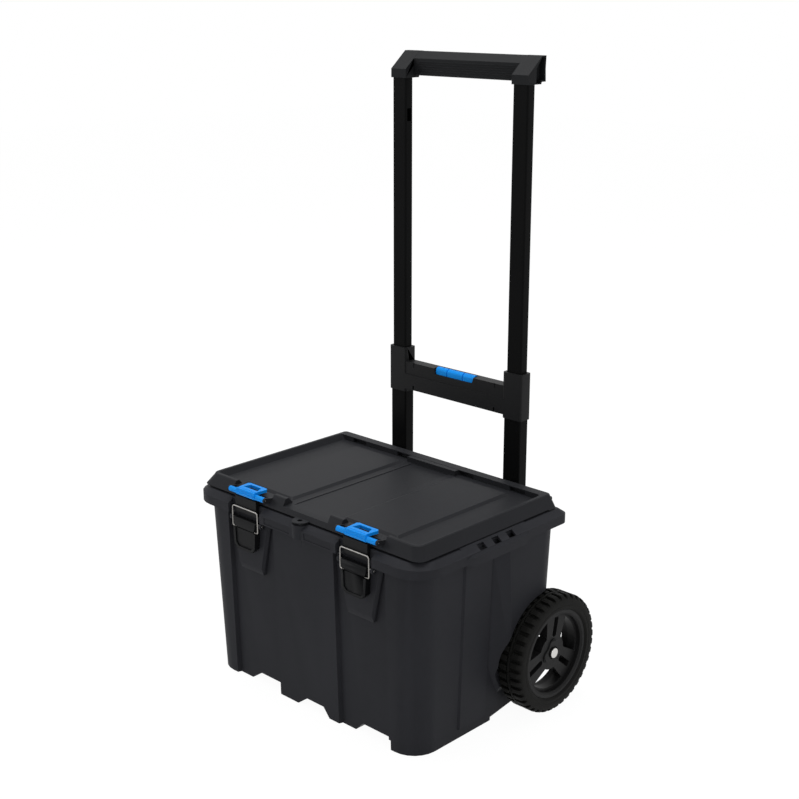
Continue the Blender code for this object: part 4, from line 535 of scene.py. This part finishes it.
tube_look = moulded("tube_coating_black", TUBE_BLACK, roughness=0.36, gloss=0.03, grain=0.06)
glide_look = moulded("tube_glide_plastic", GLIDE_BLACK, roughness=0.45, gloss=0.20, grain=0.12)
for side in SIDES:
    outer = softened(plain_copy("outer_tube_" + side, "tube_outer_" + side), TUBE_EDGE)
    dressed(outer, tube_look, "tube_coating", "tub", "outer_tube_" + side)
    inner = softened(plain_copy("inner_tube_" + side, "tube_inner_" + side), TUBE_EDGE)
    dressed(inner, tube_look, "tube_coating", "handle", "inner_tube_" + side)
    glide = softened(plain_copy("tube_glide_" + side, "glide_" + side), TUBE_EDGE)
    dressed(glide, glide_look, "latch_plastic", "handle", "tube_glide_" + side)


# Bridge
# A hollow bar moulded in one with two collars that clamp the outer tubes. Narrow seams and clip
# slots near its ends show where its shell snaps on, and the release button sits in its window.

BRIDGE_BLACK = (0.0088, 0.0090, 0.0096)
BRIDGE_FRONT = 0.16265
BRIDGE_LEDGE = 0.0015
BRIDGE_FOOT = 0.4550
BRIDGE_CREST = 0.5045
BRIDGE_EDGE = 0.0010
SEAM_X = 0.0930
SEAM_WIDTH = 0.0018
SEAM_DEPTH = 0.0014
SEAM_LENGTH = 0.0085
CLIP_WIDTH = 0.0030
CLIP_RISE = 0.0015
CLIP_HEIGHT = 0.0065

bridge_look = moulded("bridge_plastic_grained", BRIDGE_BLACK, roughness=0.46, gloss=0.11)
bridge = plain_copy("handle_bridge", "bridge")
depth = (BRIDGE_FRONT - OVERRUN, BRIDGE_FRONT + BRIDGE_LEDGE + SEAM_DEPTH)
clip_foot = BRIDGE_FOOT + CLIP_RISE
tools = []
for lean in (-1, 1):
    tools.append(brick("seam", about(lean * SEAM_X, SEAM_WIDTH / 2), depth,
                       (BRIDGE_CREST - SEAM_LENGTH, BRIDGE_CREST + OVERRUN)))
    tools.append(brick("clip_slot", about(lean * SEAM_X, CLIP_WIDTH / 2), depth,
                       (clip_foot, clip_foot + CLIP_HEIGHT)))
softened(carved(bridge, *tools), BRIDGE_EDGE)
dressed(bridge, bridge_look, "handle_plastic", "tub", "handle_bridge")


# Rear cover of the bridge
# A flat plate in the plastic of the bridge. It closes the back of the bridge over the lock, and
# is held by two screws.

COVER_EDGE = 0.0006

cover = softened(plain_copy("bridge_rear_cover", "rear_cover"), COVER_EDGE)
dressed(cover, bridge_look, "handle_plastic", "tub", "bridge_rear_cover")


# Release button
# A blue thumb bar that sits in the window of the bridge on a small spring. Two seams divide its
# face, and pressing it draws the lock bolts.

BUTTON_SEAM_X = 0.0180
BUTTON_SEAM_WIDTH = 0.0018
BUTTON_SEAM_DEPTH = 0.0024
BUTTON_SEAM_RISE = 0.0020
BUTTON_EDGE = 0.0005

low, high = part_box("release_button")
button = plain_copy("release_button", "thumb_button")
tools = []
for lean in (-1, 1):
    seam = about(lean * BUTTON_SEAM_X, BUTTON_SEAM_WIDTH / 2)
    tools.append(brick("seam_front", seam, (low[1] - OVERRUN, low[1] + BUTTON_SEAM_DEPTH),
                       (low[2] + BUTTON_SEAM_RISE, high[2])))
    tools.append(brick("seam_top", seam, (low[1] - OVERRUN, high[1] + OVERRUN),
                       (high[2] - BUTTON_SEAM_DEPTH, high[2] + OVERRUN)))
softened(carved(button, *tools), BUTTON_EDGE)
dressed(button, blue_look, "accent_plastic", "button", "release_button")


# Spring and lock bolts
# A coil spring of bright wire under the button, and two steel bolts that reach out through the
# bridge to the slots in the inner tubes.

BOLT_GREY = (0.42, 0.42, 0.41)
BOLT_EDGE = 0.0005

bolt_look = plated("bolt_steel", BOLT_GREY, roughness=0.34)
spring = plain_copy("button_spring", "spring")
spring.data.shade_smooth()
dressed(spring, steel_look, "bright_steel", "tub", "button_spring")
low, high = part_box("button_spring")
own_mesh(spring)
for side in SIDES:
    bolt = softened(plain_copy("lock_bolt_" + side, "bolt_" + side), BOLT_EDGE)
    dressed(bolt, bolt_look, "bright_steel", "bolt_" + side, "lock_bolt_" + side)


# Grip
# A grained moulding pushed over the inner tubes. Its crossbar has a sunken panel with fine ribs
# in front for the fingers, and its outer ends are hollow behind a thin rim.

GRIP_BLACK = (0.0110, 0.0116, 0.0127)
GRIP_EDGE = 0.0006
RIB_COUNT = 6
RIB_PITCH = 0.0038
RIB_RADIUS = 0.0009
RIB_HALF = 0.1040
RIB_STEPS = 8
RIBS_BACK = 0.0203
RIBS_RISE = 0.0075
END_WALL = 0.0013
END_SLOPE = 0.0343
END_WAIST = 0.0010
END_STEP_LEAN = 0.0010
END_FLOOR = 0.0009
END_DEPTH = 0.0110
TUBE_WALL = 0.0010


def new_tree(name, **inputs):
    """A tree with named inputs and one geometry output, and the node that gives the inputs."""
    tree = bpy.data.node_groups.new(name, "GeometryNodeTree")
    for label, kind in inputs.items():
        tree.interface.new_socket(label, in_out="INPUT", socket_type="NodeSocket" + kind)
    tree.interface.new_socket("Geometry", in_out="OUTPUT", socket_type="NodeSocketGeometry")
    return tree, tree.nodes.new("NodeGroupInput")


def planted(tree, given, points, turn=None):
    """Ends a tree: the piece on every point, turned, made real and given its material."""
    piece = tree.nodes.new("GeometryNodeObjectInfo")
    tree.links.new(given.outputs["Piece"], piece.inputs["Object"])
    copies = tree.nodes.new("GeometryNodeInstanceOnPoints")
    tree.links.new(points.outputs[0], copies.inputs["Points"])
    tree.links.new(piece.outputs["Geometry"], copies.inputs["Instance"])
    if turn:
        tree.links.new(turn, copies.inputs["Rotation"])
    moved = tree.nodes.new("GeometryNodeTransform")
    tree.links.new(copies.outputs["Instances"], moved.inputs["Geometry"])
    if "Centre" in given.outputs:
        tree.links.new(given.outputs["Centre"], moved.inputs["Translation"])
    real = tree.nodes.new("GeometryNodeRealizeInstances")
    tree.links.new(moved.outputs["Geometry"], real.inputs["Geometry"])
    coat = tree.nodes.new("GeometryNodeSetMaterial")
    tree.links.new(real.outputs["Geometry"], coat.inputs["Geometry"])
    tree.links.new(given.outputs["Material"], coat.inputs["Material"])
    out = tree.nodes.new("NodeGroupOutput")
    tree.links.new(coat.outputs["Geometry"], out.inputs["Geometry"])
    return tree


def row_tree():
    """Copies of one piece in a straight row, made one mesh with one material."""
    tree, given = new_tree(
        "row_of_pieces", Piece="Object", Count="Int", Start="Vector", Step="Vector", Material="Material",
    )
    index = tree.nodes.new("GeometryNodeInputIndex")
    along = tree.nodes.new("ShaderNodeVectorMath")
    along.operation = "SCALE"
    tree.links.new(given.outputs["Step"], along.inputs[0])
    tree.links.new(index.outputs["Index"], along.inputs["Scale"])
    place = tree.nodes.new("ShaderNodeVectorMath")
    tree.links.new(given.outputs["Start"], place.inputs[0])
    tree.links.new(along.outputs["Vector"], place.inputs[1])
    points = tree.nodes.new("GeometryNodePoints")
    tree.links.new(given.outputs["Count"], points.inputs["Count"])
    tree.links.new(place.outputs["Vector"], points.inputs["Position"])
    return planted(tree, given, points)


def grown(name, tree, **values):
    """A plain mesh from a tree, its inputs set by their identifiers; the piece is used up."""
    made = placed(name, bpy.data.meshes.new(name))
    modifier = made.modifiers.new("nodes", "NODES")
    modifier.node_group = tree
    for item in tree.interface.items_tree:
        if item.in_out == "INPUT":
            modifier[item.identifier] = values[item.name]
    baked(made)
    bpy.data.objects.remove(values["Piece"])
    return made


def round_bar(name, half_length, radius, steps):
    """A bar along X with a round section and domed ends: a point, rings of points and a point."""
    points = [(-half_length, 0.0, 0.0)]
    for ring in range(1, steps):
        lean = math.pi * ring / steps
        x = -radius * math.cos(lean)
        if 2 * ring != steps:
            x += math.copysign(half_length - radius, x)
        for corner in range(steps):
            turn = 2 * math.pi * corner / steps
            around = radius * math.sin(lean)
            points.append((x, around * math.cos(turn), around * math.sin(turn)))
    points.append((half_length, 0.0, 0.0))
    last_ring = len(points) - 1 - steps
    faces = []
    for corner in range(steps):
        after = (corner + 1) % steps
        faces.append((0, 1 + corner, 1 + after))
        for here in range(1, last_ring, steps):
            faces.append((here + corner, here + after, here + steps + after, here + steps + corner))
        faces.append((last_ring + corner, last_ring + after, len(points) - 1))
    made = closed_shape(name, points, faces)
    made.data.shade_smooth()
    return made


def end_outline(front, rise, wall, foot, step):
    """The outline of the grip's end inside a wall, from its front foot over the top and round."""
    return [
        (front, low[2] + END_WALL), (front, low[2] + rise),
        (low[1] + END_SLOPE, high[2] - wall), (high[1] - wall, high[2] - wall),
        (high[1] - wall - END_WAIST, (high[2] + low[2]) / 2), (high[1] - wall, low[2] + foot),
        (low[1] + step, low[2] + foot), (low[1] + step - END_STEP_LEAN, low[2] + END_WALL),
    ]


low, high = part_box("pull_grip")
tube_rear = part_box("inner_tube_right")[1][1]
grip_look = moulded("grip_plastic_grained", GRIP_BLACK, roughness=0.54, gloss=0.08, grain=0.45)
grip = plain_copy("pull_grip", "grip")
face = end_outline(low[1] + END_WALL, rise=0.0140, wall=END_WALL, foot=0.0050, step=0.0335)
hollow = end_outline(tube_rear + TUBE_WALL, rise=0.0240, wall=END_WALL * 2, foot=0.0060, step=0.0330)
tools = []
for lean in (-1, 1):
    ends = sorted((lean * (high[0] - END_FLOOR), lean * (high[0] + OVERRUN)))
    tools.append(extruded("end_face", face, "x", *ends))
    ends = sorted((lean * (high[0] - END_DEPTH), lean * (high[0] + OVERRUN)))
    tools.append(extruded("end_hollow", hollow, "x", *ends))
softened(carved(grip, *tools), GRIP_EDGE)
dressed(grip, grip_look, "handle_plastic", "handle", "pull_grip")
rib = round_bar("rib", RIB_HALF, RIB_RADIUS, RIB_STEPS)
lowest_rib = (0.0, low[1] + RIBS_BACK, low[2] + RIBS_RISE)
ribs = grown(
    "grip_ribs", row_tree(), Piece=rib, Count=RIB_COUNT, Start=lowest_rib, Step=(0.0, 0.0, RIB_PITCH),
    Material=grip_look,
)
dressed(ribs, grip_look, "handle_plastic", "handle")


# Brackets
# Moulded clamps that hold each outer tube to the rim and to the step over the axle, with two
# pan-head screws in each.

BRACKET_BLACK = (0.0100, 0.0103, 0.0112)
BRACKET_EDGE = 0.0006

bracket_look = moulded("bracket_plastic_grained", BRACKET_BLACK, roughness=0.50, gloss=0.12)
for side in SIDES:
    for level in ("upper", "lower"):
        node = "%s_bracket_%s" % (level, side)
        bracket = softened(plain_copy(node, "%s_clamp_%s" % (level, side)), BRACKET_EDGE)
        dressed(bracket, bracket_look, "handle_plastic", "tub", node)


# Screws
# Zinc-plated pan-head screws with a cross recess, two in each bracket and two in the rear cover
# of the bridge.

RECESS_LENGTH = 0.0036
RECESS_WIDTH = 0.0008
RECESS_DEPTH = 0.0009
SCREW_EDGE = 0.0002

screw_nodes = [node for node in sorted(frame["nodes"]) if "_screw_" in node]
for node in screw_nodes:
    low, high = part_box(node)
    upright = high[2] - low[2] > high[1] - low[1]
    middle = [(a + b) / 2 for a, b in zip(low, high)]
    tools = []
    for wide, tall in ((RECESS_WIDTH, RECESS_LENGTH), (RECESS_LENGTH, RECESS_WIDTH)):
        xs = about(middle[0], wide / 2)
        if upright:
            ys = about(middle[1], tall / 2)
            zs = (high[2] - RECESS_DEPTH, high[2] + OVERRUN)
        else:
            ys = (high[1] - RECESS_DEPTH, high[1] + OVERRUN)
            zs = about(middle[2], tall / 2)
        tools.append(brick("recess", xs, ys, zs))
    screw = softened(carved(plain_copy(node, node + "_head"), *tools), SCREW_EDGE)
    dressed(screw, steel_look, "bright_steel", "tub", node)


# Axle, washers and push nuts
# A plain steel axle through the lugs of the tub and both lower brackets. A washer keeps each
# wheel off its lug, and a domed push nut on the end of the axle holds the wheel on.

AXLE_EDGE = 0.0005
WASHER_EDGE = 0.0002
NUT_EDGE = 0.0008

bodies = frame["record"]["behaviour"]["bodies"]
body_of = {node: name for name, held in bodies.items() for node in held}
axle = softened(plain_copy("wheel_axle", "axle"), AXLE_EDGE)
dressed(axle, steel_look, "bright_steel", "tub", "wheel_axle")
for side in SIDES:
    node = "wheel_washer_" + side
    washer = softened(plain_copy(node, "washer_" + side), WASHER_EDGE)
    dressed(washer, steel_look, "bright_steel", body_of[node], node)
    node = "push_nut_" + side
    nut = softened(plain_copy(node, "axle_cap_" + side), NUT_EDGE, steps=3)
    dressed(nut, steel_look, "bright_steel", body_of[node], node)


# Wheels
# Moulded nylon wheels with a sunken three-spoke disc. Each spoke is parted by a slot, and the hub
# plate is drawn out into three lobes with small moulded studs round a sunken ring.

WHEEL_BLACK = (0.0105, 0.0105, 0.0108)
WHEEL_EDGE = 0.0009
FULL_TURN = 360.0
LOBES = 3
LOBE_ANGLE = 80.0
STUD_RADIUS = 0.0013
STUD_HEIGHT = 0.0007
STUD_SIDES = 8
STUD_CIRCLE = 0.0205
STUD_SPREAD = 9.0
HUB_FACE = 0.2860
HUB_RING = ((-0.0018, 0.0088), (0.0010, 0.0088), (0.0010, 0.0112), (-0.0018, 0.0112))
HUB_RING_STEPS = 32


def ring_tree():
    """Copies of one piece in a ring about the X axis, made one mesh with one material."""
    tree, given = new_tree(
        "ring_of_pieces", Piece="Object", Count="Int", Centre="Vector", Material="Material",
    )
    points = tree.nodes.new("GeometryNodePoints")
    tree.links.new(given.outputs["Count"], points.inputs["Count"])
    share = tree.nodes.new("ShaderNodeMath")
    share.operation = "DIVIDE"
    tree.links.new(tree.nodes.new("GeometryNodeInputIndex").outputs["Index"], share.inputs[0])
    tree.links.new(given.outputs["Count"], share.inputs[1])
    angle = tree.nodes.new("ShaderNodeMath")
    angle.operation = "MULTIPLY"
    angle.inputs[1].default_value = 2 * math.pi
    tree.links.new(share.outputs[0], angle.inputs[0])
    turn = tree.nodes.new("ShaderNodeCombineXYZ")
    tree.links.new(angle.outputs[0], turn.inputs["X"])
    return planted(tree, given, points, turn.outputs["Vector"])


def stud():
    """A flat round stud that lies along X, at the radius of the stud circle."""
    angles = [2 * corner * math.pi / STUD_SIDES for corner in range(STUD_SIDES)]
    outline = [
        (STUD_RADIUS * math.cos(angle), STUD_CIRCLE + STUD_RADIUS * math.sin(angle)) for angle in angles
    ]
    return extruded("stud", outline, "x", -STUD_HEIGHT, STUD_HEIGHT)


def swept_round(name, profile, start, sweep, steps):
    """A profile of distances from the middle plane and radii, swept about the X axis."""
    closed = sweep >= FULL_TURN
    count = len(profile)
    rows = steps if closed else steps + 1
    points = []
    for row in range(rows):
        angle = math.radians(start + sweep * row / steps)
        points += [(x, r * math.cos(angle), r * math.sin(angle)) for x, r in profile]
    faces = []
    for row in range(steps):
        here = row * count
        there = (row + 1) % rows * count
        for i in range(count):
            after = (i + 1) % count
            faces.append((here + i, here + after, there + after, there + i))
    if not closed:
        faces += [tuple(range(count)), tuple(range(steps * count, rows * count))]
    return closed_shape(name, points, faces)


def joined(name, pieces):
    """One object with the meshes of several, which are used up."""
    work = bmesh.new()
    for piece in pieces:
        work.from_mesh(piece.data)
        bpy.data.objects.remove(piece)
    mesh = bpy.data.meshes.new(name)
    work.to_mesh(mesh)
    work.free()
    return placed(name, mesh)


wheel_look = moulded("wheel_plastic_satin", WHEEL_BLACK, roughness=0.50, gloss=0.13)
rings = ring_tree()
for side, sign in SIDES.items():
    hub = joint_place["wheel_%s_spin" % side]
    centre = (sign * HUB_FACE, hub[1], hub[2])
    section = [(sign * x, r) for x, r in HUB_RING]
    ring = swept_round("hub_ring", section, 0.0, FULL_TURN, HUB_RING_STEPS)
    ring.data.transform(Matrix.Translation(centre))
    wheel = carved(plain_copy("wheel_rim_" + side, "wheel_" + side), ring)
    softened(wheel, WHEEL_EDGE)
    dressed(wheel, wheel_look, "wheel_plastic", "wheel_" + side, "wheel_rim_" + side)
    studs = []
    for spread in (-STUD_SPREAD, 0.0, STUD_SPREAD):
        piece = stud()
        turn = math.radians(LOBE_ANGLE + spread) - math.pi / 2
        piece.data.transform(Matrix.Rotation(turn, 4, "X"))
        studs.append(grown("studs", rings, Piece=piece, Count=LOBES, Centre=centre, Material=wheel_look))
    dressed(joined("hub_studs_" + side, studs), wheel_look, "wheel_plastic", "wheel_" + side)


# Tyres
# Black rubber, pressed on to the rim: a smooth round casing with a plain rib round its middle,
# and on each side of it a row of tread blocks that reach over the shoulder, half a pitch apart.

TYRE_BLACK = (0.0080, 0.0079, 0.0074)
TYRE_EDGE = 0.0004
TYRE_ROUNDING_ANGLE = 35.0
BLOCKS = 40
BLOCK_ANGLE = 5.0
BLOCK_STEPS = 3
CASING_STEPS = 96
CASING = (
    (0.0205, 0.0753), (0.0235, 0.0783), (0.0235, 0.0826), (0.0230, 0.0832), (0.0230, 0.0838),
    (0.0235, 0.0844), (0.0235, 0.0898), (0.0226, 0.0936), (0.0200, 0.0956), (0.0024, 0.0960),
    (0.0018, 0.1003),
)
BLOCK = (
    (0.0036, 0.0950), (0.0036, 0.1004), (0.0158, 0.1004), (0.0194, 0.0993), (0.0216, 0.0970),
    (0.0226, 0.0940), (0.0218, 0.0925), (0.0180, 0.0945),
)

tyre_look = moulded("tyre_rubber_matt", TYRE_BLACK, roughness=0.64, gloss=0.08, grain=0.5)
for side in SIDES:
    low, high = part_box("tyre_" + side)
    hub = joint_place["wheel_%s_spin" % side]
    centre = ((low[0] + high[0]) / 2, hub[1], hub[2])
    whole = [(-x, r) for x, r in CASING] + [(x, r) for x, r in reversed(CASING)]
    casing = swept_round("casing", whole, 0.0, FULL_TURN, CASING_STEPS)
    casing.data.transform(Matrix.Translation(centre))
    rows = [casing]
    for lean, start in ((-1, FULL_TURN / 2 / BLOCKS), (1, 0.0)):
        profile = [(lean * x, r) for x, r in BLOCK]
        block = swept_round("block", profile, start, BLOCK_ANGLE, BLOCK_STEPS)
        rows.append(grown("tread_row", rings, Piece=block, Count=BLOCKS, Centre=centre, Material=tyre_look))
    tyre = joined("tyre_%s_tread" % side, rows)
    softened(tyre, TYRE_EDGE, steps=1, angle=TYRE_ROUNDING_ANGLE)
    dressed(tyre, tyre_look, "tyre_rubber", "wheel_" + side, "tyre_" + side)
